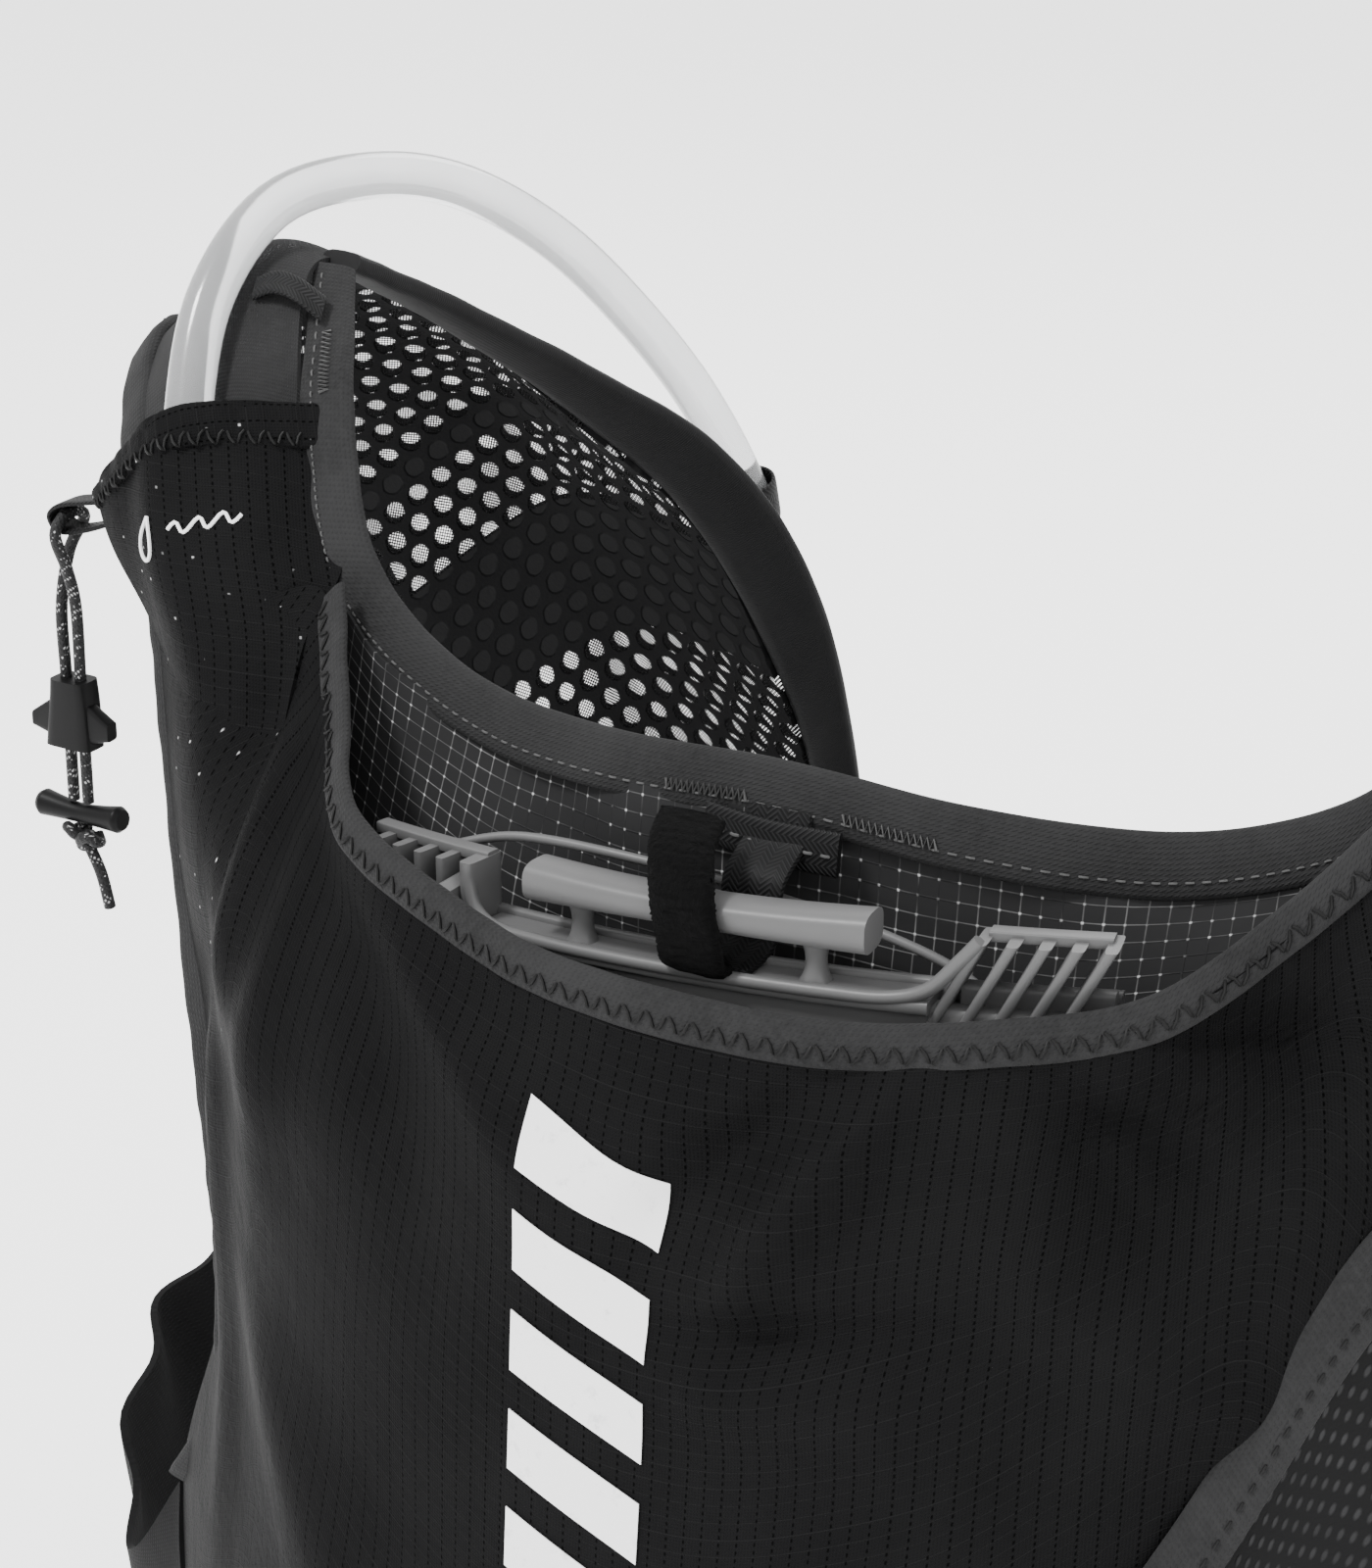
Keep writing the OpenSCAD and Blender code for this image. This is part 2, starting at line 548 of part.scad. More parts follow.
back_lining();
outer_shell();
neckline_binding();
mouth_binding();
left_side_binding();
right_side_binding();
hem_binding();
lower_pocket();
lower_pocket_binding();
left_shoulder_yoke();
right_shoulder_yoke();
left_port_sleeve();
right_port_sleeve();
left_keeper_loop();
right_keeper_loop();
left_strap_mesh();
right_strap_mesh();
left_strap_neck_binding();
right_strap_neck_binding();
left_strap_arm_binding();
right_strap_arm_binding();
left_flask_pocket();
right_flask_pocket();
left_flask_binding();
right_flask_binding();
left_wing();
right_wing();
left_rail();
right_rail();
upper_left_slider();
upper_right_slider();
upper_strap_knuckle();
upper_strap_web();
upper_strap_eye();
lower_left_slider();
lower_right_slider();
lower_strap_knuckle();
lower_strap_web();
lower_strap_eye();
left_cord_tab();
right_cord_tab();
left_pole_cord();
right_pole_cord();
left_cord_lock();
right_cord_lock();
left_cord_toggle();
right_cord_toggle();
reservoir_clip();
reservoir_bag();
clip_tether();
hang_tab_anchor();
hang_tab_flap();
reservoir_outlet();
connector_button();
hose();
hose_loops();
bite_valve_body();
shutoff_lever();
bite_sleeve();
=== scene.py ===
# %% [markdown]
# # A running hydration pack
# The pack hangs as if a wearer were inside it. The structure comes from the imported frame, and
# every piece of cloth, tape, hose and plastic is modelled around that frame, in metres.

# %% Load the frame
import math
import random

import bpy
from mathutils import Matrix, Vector


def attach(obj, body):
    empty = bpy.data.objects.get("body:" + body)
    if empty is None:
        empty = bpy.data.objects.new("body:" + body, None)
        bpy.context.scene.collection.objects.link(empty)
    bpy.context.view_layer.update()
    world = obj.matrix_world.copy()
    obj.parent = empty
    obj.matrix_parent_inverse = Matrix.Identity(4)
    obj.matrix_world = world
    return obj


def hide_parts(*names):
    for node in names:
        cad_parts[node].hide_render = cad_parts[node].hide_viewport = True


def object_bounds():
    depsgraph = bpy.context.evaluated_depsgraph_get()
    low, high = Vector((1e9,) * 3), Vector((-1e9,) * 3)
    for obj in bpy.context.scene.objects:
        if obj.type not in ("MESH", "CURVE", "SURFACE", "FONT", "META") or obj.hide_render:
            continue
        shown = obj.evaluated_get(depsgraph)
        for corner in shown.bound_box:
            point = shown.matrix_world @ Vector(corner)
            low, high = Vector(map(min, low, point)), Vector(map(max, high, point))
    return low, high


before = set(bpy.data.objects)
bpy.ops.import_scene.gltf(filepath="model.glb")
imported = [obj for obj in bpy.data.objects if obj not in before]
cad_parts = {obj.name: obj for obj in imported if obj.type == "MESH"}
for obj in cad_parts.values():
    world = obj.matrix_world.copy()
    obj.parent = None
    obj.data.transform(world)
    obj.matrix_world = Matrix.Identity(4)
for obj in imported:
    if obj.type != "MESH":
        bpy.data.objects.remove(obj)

cad_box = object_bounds()
print("frame box", cad_box)

# %% [markdown]
# The camera looks down a little at the upper back, from the wearer's right. Its lens is long,
# so the pack shows little perspective. It is made first.

# %% Camera
VIEW_TURN, VIEW_DROP = 31, 22  # degrees round to the wearer's right, and down
VIEW_PLACE = (0.2933, -0.5813, 0.1831)
bpy.ops.object.select_all(action="DESELECT")
bpy.ops.object.camera_add(location=VIEW_PLACE,
                          rotation=(math.radians(90 - VIEW_DROP), 0, math.radians(VIEW_TURN)))
camera = bpy.context.object
camera.name = "view_camera"
camera.data.lens = 86.4
camera.data.sensor_width = 36
camera.data.clip_end = 100
bpy.context.scene.camera = camera
print("camera at", tuple(round(c, 3) for c in camera.location))

# %% [markdown]
# Cloth and tape follow smooth curves through a few points, the way a pattern maker bends a
# batten through marks. Blender's own curves could hold them, but a few lines of arithmetic
# (a Catmull-Rom curve) give any point at once and pass through every mark. `along` gives a
# point on such a curve, `mirror` the same points on the other side of the body, and `both` a
# whole curve from its right half. Points are in millimetres until they go into a mesh.

# %% Curves
MM = 0.001
SIDES = ((-1, "left"), (1, "right"))


def along(points, u):
    last = len(points) - 1
    k = min(int(u * last), last - 1)
    t = u * last - k
    a, b = Vector(points[max(k - 1, 0)]), Vector(points[k])
    c, d = Vector(points[k + 1]), Vector(points[min(k + 2, last)])
    return 0.5 * (2 * b + (c - a) * t + (2 * a - 5 * b + 4 * c - d) * t * t
                  + (3 * b - a - 3 * c + d) * t ** 3)


def mirror(side, points):
    return [Vector((side * p[0], p[1], p[2])) for p in points]


def both(points):
    return mirror(-1, points[:0:-1]) + [Vector(p) for p in points]


def moved(points, step):
    return [Vector(p) + Vector(step) for p in points]


def evenly(points, count):
    """Points at equal distances along the smooth curve, in the curve's own units."""
    steps = 400
    fine = [along(points, i / steps) for i in range(steps + 1)]
    reach = [0.0]
    for p, q in zip(fine, fine[1:]):
        reach.append(reach[-1] + (q - p).length)
    out, k = [], 0
    for i in range(count):
        want = reach[-1] * i / (count - 1)
        while k < steps - 1 and reach[k + 1] < want:
            k += 1
        span = max(reach[k + 1] - reach[k], 1e-9)
        out.append(fine[k].lerp(fine[k + 1], min(max((want - reach[k]) / span, 0), 1)))
    return out


print("curve helpers ready")

# %% [markdown]
# A cloth panel starts as Blender's grid, whose points are moved onto the surface that its
# curves span. The map that comes with the grid is rewritten in metres, so a weave drawn on it
# keeps its true pitch everywhere. A cloth simulation could drape each panel, but it would need
# a body inside it and take minutes, so here the hang of the cloth is in its curves.

# %% Surfaces from curves
def surface(curves, down, across):
    """Rows of points, down by across, on the smooth surface through the curves."""
    columns = []
    for j in range(across + 1):
        marks = [along(c, j / across) for c in curves]
        columns.append([along(marks, i / down) for i in range(down + 1)])
    return [[columns[j][i] for j in range(across + 1)] for i in range(down + 1)]


def grid_piece(name, rows, wrap=False):
    """A grid whose points lie at the rows' points, mapped in metres."""
    down, across = len(rows) - 1, len(rows[0]) - 1
    bpy.ops.object.select_all(action="DESELECT")
    bpy.ops.mesh.primitive_grid_add(x_subdivisions=across, y_subdivisions=down, size=2)
    piece = bpy.context.object
    piece.name = piece.data.name = name
    mesh = piece.data
    place = []
    for v in mesh.vertices:
        i = round((1 - v.co.y) / 2 * down)
        j = round((v.co.x + 1) / 2 * across)
        place.append((i, j))
    mid = 0 if wrap else across // 2
    east = [[0.0] * (across + 1) for _ in rows]
    south = [[0.0] * (across + 1) for _ in rows]
    for i, row in enumerate(rows):
        for j in range(mid + 1, across + 1):
            east[i][j] = east[i][j - 1] + (row[j] - row[j - 1]).length
        for j in range(mid - 1, -1, -1):
            east[i][j] = east[i][j + 1] - (row[j] - row[j + 1]).length
        if i:
            for j in range(across + 1):
                south[i][j] = south[i - 1][j] + (row[j] - rows[i - 1][j]).length
    for v, (i, j) in zip(mesh.vertices, place):
        v.co = rows[i][j] * MM
    chart = mesh.uv_layers.active.data
    for loop in mesh.loops:
        i, j = place[loop.vertex_index]
        chart[loop.index].uv = (east[i][j] * MM, -south[i][j] * MM)
    mesh.update()
    return piece


print("grids follow curves")

# %% [markdown]
# Every operator works on what is selected, so each step picks its piece first. Solidify gives
# a panel its thickness to both sides, and shading is smooth except over sharp edges.

# %% Steps on one piece
def pick(piece):
    bpy.ops.object.select_all(action="DESELECT")
    piece.select_set(True)
    bpy.context.view_layer.objects.active = piece


def in_edit(piece, *steps):
    pick(piece)
    bpy.ops.object.mode_set(mode="EDIT")
    bpy.ops.mesh.select_all(action="SELECT")
    for step in steps:
        step()
    bpy.ops.object.mode_set(mode="OBJECT")


def turn_outward(piece, outward):
    """Flip the faces if they look away from the outward direction on the whole."""
    total = Vector((0, 0, 0))
    for p in piece.data.polygons:
        total += p.normal * p.area
    if total.dot(Vector(outward)) < 0:
        in_edit(piece, bpy.ops.mesh.flip_normals)


def use_modifier(piece, kind, **settings):
    pick(piece)
    modifier = piece.modifiers.new(kind.title(), kind)
    for key, value in settings.items():
        setattr(modifier, key, value)
    bpy.ops.object.modifier_apply(modifier=modifier.name)


def smooth(piece, angle=50):
    pick(piece)
    bpy.ops.object.shade_smooth_by_angle(angle=math.radians(angle))


def panel(name, curves, down, across, thick, outward, shape=None):
    """A cloth panel through the curves. shape(point) says how far it lifts along its normal."""
    piece = grid_piece(name, surface(curves, down, across))
    turn_outward(piece, outward)
    if shape:
        lifts = [v.normal * shape(v.co / MM) * MM for v in piece.data.vertices]
        for v, lift in zip(piece.data.vertices, lifts):
            v.co += lift
        piece.data.update()
    use_modifier(piece, "SOLIDIFY", thickness=thick * MM, offset=0, use_even_offset=False)
    smooth(piece)
    return piece


print("panels ready")

# %% [markdown]
# Hose, cord and thread are round, and so is anything swept along a line. A curve with a bevel
# would do the same, but rings laid one by one keep a map in metres for the braid. The seam is
# merged and both ends are filled, so each piece is closed.

# %% Tubes
def close_tube(piece):
    in_edit(piece,
            lambda: bpy.ops.mesh.remove_doubles(threshold=1e-6),
            lambda: bpy.ops.mesh.select_all(action="DESELECT"),
            lambda: bpy.ops.mesh.select_non_manifold(),
            lambda: bpy.ops.mesh.fill_holes(sides=0),
            lambda: bpy.ops.mesh.select_all(action="SELECT"),
            lambda: bpy.ops.mesh.normals_make_consistent(inside=False))
    smooth(piece)


def swept(name, line, size, sides):
    """A closed round piece with one ring about each point of the line; size(0..1) is its radius."""
    side_way = Vector((0.3, 1, 0.2)).normalized()
    last = len(line) - 1
    rows = []
    for i, centre in enumerate(line):
        ahead = (line[min(i + 1, last)] - line[max(i - 1, 0)]).normalized()
        side_way = (side_way - ahead * side_way.dot(ahead)).normalized()
        up_way = ahead.cross(side_way)
        r = size(i / last)
        rows.append([centre + (side_way * math.cos(a) + up_way * math.sin(a)) * r
                     for a in (-2 * math.pi * j / sides for j in range(sides + 1))])
    piece = grid_piece(name, rows, wrap=True)
    close_tube(piece)
    return piece


def tube(name, points, radius, rings, sides=12):
    """A closed tube along a smooth curve. radius may be a function of 0..1 along it."""
    size = radius if callable(radius) else (lambda u: radius)
    return swept(name, evenly(points, rings + 1), size, sides)


print("tubes ready")

# %% [markdown]
# A binding is a tape folded over the raw edges and sewn down, so it has two full faces and a
# round fold. A flat strip with a bevel would look stiff. Here the tape's cross-section, a
# squared-off oval, is swept between its two edge curves, and the tape ripples a little, as
# a stretch knit does when it is sewn to cloth.

# %% Tapes
def tape_frame(edge, seam, u, wobble):
    """Both edges of a tape at u, the way its face looks, and how far it ripples."""
    a, b = along(edge, u), along(seam, u)
    back, ahead = max(u - 0.004, 0), min(u + 0.004, 1)
    run = along(edge, ahead) + along(seam, ahead) - along(edge, back) - along(seam, back)
    ripple = wobble * (math.sin(u * 61) + 0.6 * math.sin(u * 143 + 1))
    return a, b, run.cross(b - a).normalized(), ripple


def tape(name, edge, seam, rings, thick, sides=16, puff=0.55, wobble=0.0, square=0.8):
    """A tape between two edge curves. Lower puff and square make its edges more square."""
    rows = []
    for i in range(rings + 1):
        a, b, up, ripple = tape_frame(edge, seam, i / rings, wobble)
        middle, half = (a + b) / 2, (b - a) / 2
        row = []
        for j in range(sides + 1):
            t = -2 * math.pi * j / sides
            c, s = math.cos(t), math.sin(t)
            c = math.copysign(abs(c) ** puff, c)
            s = math.copysign(abs(s) ** square, s)
            row.append(middle + half * c + up * (s * thick / 2 + ripple))
        rows.append(row)
    piece = grid_piece(name, rows, wrap=True)
    close_tube(piece)
    return piece


print("tapes ready")

# %% [markdown]
# Stitches are modelled as one thread that dives in and out of the tape, because a drawn line
# would look flat where the light grazes it. Each kind of stitch is a short list of steps: how
# far through the stitch, how far sideways and how high.

# %% Threads
def tape_spot(edge, seam, share, outward, wobble=0.0):
    """Where a thread meets a tape, a share of the way from its edge to its seam."""
    def spot(u):
        a, b, up, ripple = tape_frame(edge, seam, u, wobble)
        place = a.lerp(b, share) + up * ripple
        if up.dot(Vector(outward)) < 0:
            up.negate()
        return place, up, (b - a).normalized()
    return spot


def stitched(name, spot, start, end, count, steps, proud, radius=0.3):
    points = []
    for k in range(count):
        for share, sideways, height in steps:
            place, up, cross = spot(start + (end - start) * (k + share) / count)
            points.append(place + up * (proud + height) + cross * sideways)
    return swept(name, points, lambda u: radius, 6)


DASH = [(0.0, 0, -0.9), (0.1, 0, 0.12), (0.3, 0, 0.3), (0.52, 0, 0.12), (0.62, 0, -0.9)]
WAVE = [(0.0, -1.3, -0.5), (0.12, -1.2, 0.2), (0.3, -0.4, 0.3), (0.42, 0.9, 0.2), (0.5, 1.3, -0.5),
        (0.62, 1.2, 0.2), (0.8, 0.4, 0.3), (0.92, -0.9, 0.2)]
TACK = [(0.0, -0.9, 0.25), (0.5, 0.9, 0.4)]
print("stitches:", len(DASH), len(WAVE), len(TACK), "steps")

# %% [markdown]
# These are the pack's outlines, in millimetres, for the wearer's right half. They repeat the
# curves the structure was built on: the neckline, the pocket mouth and the arm opening. A row
# of a back panel is its y and z at the centre, then x, y and z at the side seam.

# %% Outlines of the back
neck_top = [(0, -62, -53), (34, -58, -56), (66, -49, -57), (88, -41, -52),
            (102, -36, -42), (110, -30, -28), (117, -21, -14), (134, 4, 0)]
neck_low = [(0, -64, -64), (35, -61, -67), (68, -52, -68), (96, -45, -60),
            (112, -40, -48), (121, -33, -32), (128, -23, -17), (144, 4, 0)]
mouth = [(0, -98, -91), (28, -96, -90), (55, -89, -86), (80, -80, -79), (96, -61, -66), (109, -45, -51)]
armhole = [(153, -38, -61), (145, -46, -89), (136, -54, -131), (130, -58, -166),
           (129, -58, -192), (133, -57, -223), (150, -51, -250)]
hem_half = [(0, -80, -370), (50, -76, -370), (100, -62, -369), (146, -44, -366)]
shell_rows = [(-105, -118, 143, -48, -96), (-111, -150, 135, -54, -136), (-116, -200, 130, -57, -196),
              (-118, -262, 150, -50, -252), (-104, -322, 152, -47, -318), (-80, -370, 147, -43, -367)]
lining_rows = [(-69, -110, 143, -48, -96), (-71, -150, 135, -54, -136), (-72, -200, 130, -57, -196),
               (-71, -262, 150, -50, -252), (-68, -322, 152, -47, -318), (-66, -370, 147, -43, -367)]
print("rows of the shell and lining", len(shell_rows), len(lining_rows))

# %% [markdown]
# The back panels bulge towards the middle, more for the shell, which the water bag fills, than
# for the lining. One power of the distance from the centre gives that, and `shell_y` can then
# say how far back the shell is anywhere.

# %% How the back panels bulge
def row_point(row, v, fullness):
    """A point of a back-panel row, from 0 at the centre to 1 at the side seam."""
    centre_y, centre_z, side_x, side_y, side_z = row
    return (side_x * v, side_y + (centre_y - side_y) * (1 - abs(v) ** fullness),
            centre_z + (side_z - centre_z) * abs(v) ** 3)


def shell_y(x, z):
    """How far back the outer shell stands at a place (mm)."""
    marks = []
    for row in shell_rows:
        v = min(abs(x) / row[2], 1)
        p = row_point(row, v, 2.6)
        marks.append((p[2], p[1]))
    marks.sort()
    if z <= marks[0][0]:
        return marks[0][1]
    for (z0, y0), (z1, y1) in zip(marks, marks[1:]):
        if z <= z1:
            return y0 + (y1 - y0) * (z - z0) / (z1 - z0)
    return marks[-1][1]


shell_head = [(x, y + 0.6, z + 4) for x, y, z in mouth] + [(131, -54, -55), (152, -40, -60)]
shell_curves = [both(shell_head)] + [both([row_point(r, k / 7, 2.6) for k in range(8)]) for r in shell_rows]
lining_head = [(0, -63, -62), (34, -60, -64), (66, -51, -65), (94, -45, -58),
               (112, -40, -47), (133, -38, -50), (152, -37, -59)]
lining_curves = [both(lining_head)] + [
    both([(p[0], p[1] + 0.8, p[2]) for p in (row_point(r, k / 6, 2) for k in range(7))]) for r in lining_rows]
print("outlines of the back: shell", len(shell_curves), "rows")

# %% [markdown]
# The shoulders, sleeves, straps, flask pockets and wings are rows of points too, from one end
# of the panel to the other. Marks like these are easier to correct than a mesh: moving one
# moves the cloth round it smoothly.

# %% Outlines of the shoulders, straps and wings
yoke_rows = [[(112, -40, -48), (132, -38, -50), (152, -37, -59)],
             [(122, -32, -31), (144, -26, -26), (169, -23, -47)],
             [(138, -8, -5), (160, -6, -6), (183, -6, -32)],
             [(143, 10, -1), (163, 12, -1), (187, 11, -21)],
             [(136, 29, -13), (160, 32, -10), (185, 31, -29)]]
sleeve_rows = [[(113, -46, -52), (132, -55, -56), (153, -41, -60)],
               [(109, -36, -42), (139, -49, -41), (164, -36, -51)],
               [(122, -24.5, -18.5), (148, -38, -20), (175, -29, -43)]]
strap_rows = [[(135, 30, -14), (164, 34, -9), (193, 33, -32)],
              [(122, 54, -35), (157, 60, -27), (193, 56, -54)],
              [(105, 78, -63), (146, 83, -55), (189, 74, -80)],
              [(90, 93, -100), (134, 96, -95), (181, 86, -109)],
              [(81, 101, -140), (125, 103, -138), (172, 92, -150)],
              [(78, 104, -188), (119, 107, -189), (163, 93, -196)],
              [(83, 102, -246), (120, 104, -248), (157, 92, -250)],
              [(94, 94, -318), (126, 96, -322), (160, 87, -322)]]
neck_edge = [(135, 7, 0.4), (128, 27, -10), (113, 56, -29), (94, 79, -50), (80, 93, -80), (73, 101, -122),
             (70, 105, -180), (74, 103, -244), (87, 95, -316)]
neck_seam = [(145, 8, 0.4), (136, 29, -14), (122, 56, -37), (104, 80, -66), (89, 94, -104), (82, 101, -138),
             (80, 104, -185), (84, 102, -244), (96, 94, -317)]
arm_edge = [(161, -33, -57), (183, -10, -40), (195, 11, -29), (200, 33, -38), (200, 55, -58), (196, 73, -84),
            (189, 85, -112), (180, 92, -152), (171, 94, -198), (164, 93, -240)]
arm_seam = [(154, -32, -52), (176, -9, -29), (187, 12, -19), (191, 32, -28), (191, 55, -51), (187, 74, -78),
            (180, 87, -108), (170, 93, -150), (161, 95, -198), (154, 94, -242)]
flask_rows = [[(100, 108, -202), (124, 124, -200), (151, 100, -204)],
              [(98, 109, -232), (124, 133, -232), (152, 100, -234)],
              [(100, 107, -274), (125, 129, -276), (153, 98, -274)],
              [(106, 98, -312), (128, 104, -316), (156, 91, -312)]]
wing_rows = [[(150, -50, -252), (153, -47, -312), (147, -42, -366)],
             [(177, -36, -284), (180, -30, -324), (172, -27, -362)],
             [(198, 2, -252), (196, 4, -304), (186, 6, -354)],
             [(192, 48, -242), (188, 50, -296), (179, 51, -344)],
             [(171, 80, -240), (170, 80, -288), (166, 78, -330)],
             [(158, 92, -238), (160, 90, -282), (160, 87, -322)]]
hose_points = [(-83, -82, -322), (-91, -82, -319), (-98, -80.5, -306), (-100, -79, -285), (-99, -79, -240),
               (-98, -79, -200), (-98, -77, -150), (-101, -71, -115), (-110, -60, -90), (-122, -51.3, -70),
               (-134, -46, -54), (-144, -38, -39), (-151, -29, -24), (-156, -14, -4), (-155, 6, 10),
               (-147, 26, 13), (-139, 47, 8), (-129, 66, -5), (-119, 81, -23), (-109, 95, -46),
               (-101, 106, -74), (-94, 113, -110), (-88, 117, -150), (-86, 118, -180), (-86, 118, -208)]
pole_cord_points = [(190.1, -20, -116), (190.1, -20, -104), (190.1, -20, -88), (190.1, -20, -73),
                    (190.1, -22, -64), (190.1, -25, -56), (190.1, -22, -52.4), (190.1, -18, -52.4),
                    (191, -14.6, -55), (193.9, -16.5, -62), (193.9, -20, -73), (193.9, -20, -88),
                    (193.9, -20, -104), (193.9, -20, -116)]
print("outlines of the straps ready")

# %% [markdown]
# Each finish is a small set of nodes. They could be wired by hand in the shader editor, but the
# helpers below add a node, wire it, and do arithmetic on a pattern, so a weave can be written
# almost as a sentence. Distances are in metres, on the piece's own map, so 3 mm squares are
# 3 mm on every panel. Cloth this black needs very dark colours and little shine.

# %% Arithmetic on patterns
class Pattern:
    """A material, its shader, and arithmetic on what its nodes give out."""

    def __init__(self, name, colour, roughness, **settings):
        self.material = bpy.data.materials.new(name)
        self.material.use_nodes = True
        self.tree = self.material.node_tree
        self.shader = self.tree.nodes["Principled BSDF"]
        self.shader.inputs["Base Color"].default_value = (*colour, 1)
        self.shader.inputs["Roughness"].default_value = roughness
        for key, value in settings.items():
            self.shader.inputs[key.replace("_", " ")].default_value = value

    def node(self, kind, **settings):
        made = self.tree.nodes.new(kind)
        for key, value in settings.items():
            setattr(made, key, value)
        return made

    def wire(self, source, target):
        self.tree.links.new(source, target)

    def math(self, operation, *values):
        made = self.node("ShaderNodeMath", operation=operation)
        for slot, value in zip(made.inputs, values):
            if hasattr(value, "is_output"):
                self.wire(value, slot)
            else:
                slot.default_value = value
        return made.outputs[0]

    def times(self, a, b):
        return self.math("MULTIPLY", a, b)

    def plus(self, a, b):
        return self.math("ADD", a, b)

    def minus(self, a, b):
        return self.math("SUBTRACT", a, b)

    def either(self, a, b):
        return self.math("MAXIMUM", a, b)


print("arithmetic ready")

# %% [markdown]
# On top of that come the patterns themselves: noise, thin lines, steps, a mix of two colours,
# and bump and roughness wired to the shader. Each is one or two nodes with its sizes in metres.

# %% Finish helpers
class Finish(Pattern):
    """Short ways to write a finish."""

    def place(self, on_map=True):
        made = self.node("ShaderNodeTexCoord")
        return made.outputs["UV" if on_map else "Object"]

    def split(self, vector):
        made = self.node("ShaderNodeSeparateXYZ")
        self.wire(vector, made.inputs[0])
        return made.outputs[0], made.outputs[1], made.outputs[2]

    def noise(self, size, detail=3, roughness=0.55):
        """Noise in space whose blobs are about size metres across."""
        made = self.node("ShaderNodeTexNoise")
        made.inputs["Scale"].default_value = 1 / size
        made.inputs["Detail"].default_value = detail
        made.inputs["Roughness"].default_value = roughness
        self.wire(self.place(on_map=False), made.inputs["Vector"])
        return made.outputs["Fac"]

    def line(self, coordinate, pitch, width):
        """1 on thin lines every pitch metres, 0 between them."""
        t = self.math("FRACT", self.math("DIVIDE", coordinate, pitch))
        t = self.math("ABSOLUTE", self.minus(t, 0.5))
        edge = 0.5 * width / pitch
        return self.ramp(t, edge, edge * 0.4)

    def ramp(self, value, zero_at, one_at):
        made = self.node("ShaderNodeMapRange", clamp=True)
        made.inputs["From Min"].default_value = zero_at
        made.inputs["From Max"].default_value = one_at
        self.wire(value, made.inputs["Value"])
        return made.outputs["Result"]

    def blend(self, amount, low, high):
        """Mix two colours, each a colour or another node's output."""
        made = self.node("ShaderNodeMix", data_type="RGBA")
        self.wire(amount, made.inputs["Factor"])
        for slot, value in ((made.inputs[6], low), (made.inputs[7], high)):
            if hasattr(value, "is_output"):
                self.wire(value, slot)
            else:
                slot.default_value = (*value, 1)
        return made.outputs[2]

    def bump(self, height, depth, strength=1.0, under=None):
        made = self.node("ShaderNodeBump")
        made.inputs["Strength"].default_value = strength
        made.inputs["Distance"].default_value = depth
        self.wire(height, made.inputs["Height"])
        if under:
            self.wire(under, made.inputs["Normal"])
        self.wire(made.outputs[0], self.shader.inputs["Normal"])
        return made.outputs[0]

    def colour(self, source):
        self.wire(source, self.shader.inputs["Base Color"])

    def rough(self, low, high, pattern):
        made = self.node("ShaderNodeMapRange")
        made.inputs["To Min"].default_value = low
        made.inputs["To Max"].default_value = high
        self.wire(pattern, made.inputs["Value"])
        self.wire(made.outputs["Result"], self.shader.inputs["Roughness"])


print("finish helpers ready")

# %% [markdown]
# The shell is a very light ripstop: a matt black weave with a fine grid of thicker yarns about
# 3 mm apart, whose upright lines are broken into short dashes. A few bright specks by the left
# shoulder are a painted highlight: glints where the light catches the knots of the grid. The grid
# is in the colour and, slightly, in the bump, because real yarns that fine would be millions of faces.

# %% Shell finish
def shell_ripstop():
    f = Finish("shell_ripstop", (0.006, 0.006, 0.006), 0.6, Specular_IOR_Level=0.015)
    u, v, _ = f.split(f.place())
    upright = f.line(u, 0.0034, 0.00042)
    level = f.line(v, 0.0032, 0.00035)
    dashes = f.line(v, 0.00145, 0.0009)
    dots = f.times(upright, dashes)
    worn = f.noise(0.035, 4)
    cloth = f.blend(f.ramp(worn, 0.3, 0.75), (0.0050, 0.0050, 0.0052), (0.0076, 0.0076, 0.0078))
    cloth = f.blend(level, cloth, (0.0092, 0.0092, 0.0094))
    cloth = f.blend(dots, cloth, (0.0012, 0.0012, 0.0012))
    x, _, z = f.split(f.place(on_map=False))
    # Painted highlight: glints at the grid's knots in a patch by the left shoulder, where the light falls.
    shoulder = f.times(f.ramp(x, -0.108, -0.112), f.ramp(z, -0.135, -0.115))
    knot = f.times(f.line(u, 0.0064, 0.0007), f.line(v, 0.0064, 0.0007))
    painted_glint = f.times(f.times(knot, shoulder), f.ramp(f.noise(0.006, 1), 0.56, 0.6))
    f.colour(f.blend(painted_glint, cloth, (0.5, 0.5, 0.5)))
    yarns = f.plus(f.times(level, 0.35), f.times(dots, -1.0))
    fine = f.times(f.line(u, 0.0006, 0.0004), f.line(v, 0.0006, 0.0004))
    height = f.plus(yarns, f.times(fine, 0.3))
    f.bump(height, 0.00028, 1.0, under=f.bump(f.noise(0.009, 4), 0.001, 0.7))
    f.rough(0.48, 0.62, worn)
    return f.material


shell_cloth = shell_ripstop()
print(shell_cloth.name)

# %% [markdown]
# The lining is another ripstop, whose grid is pale, with a bright dot wherever two yarns cross.
# Both fade in and out with a cloudy noise, as the light catches the yarns unevenly.

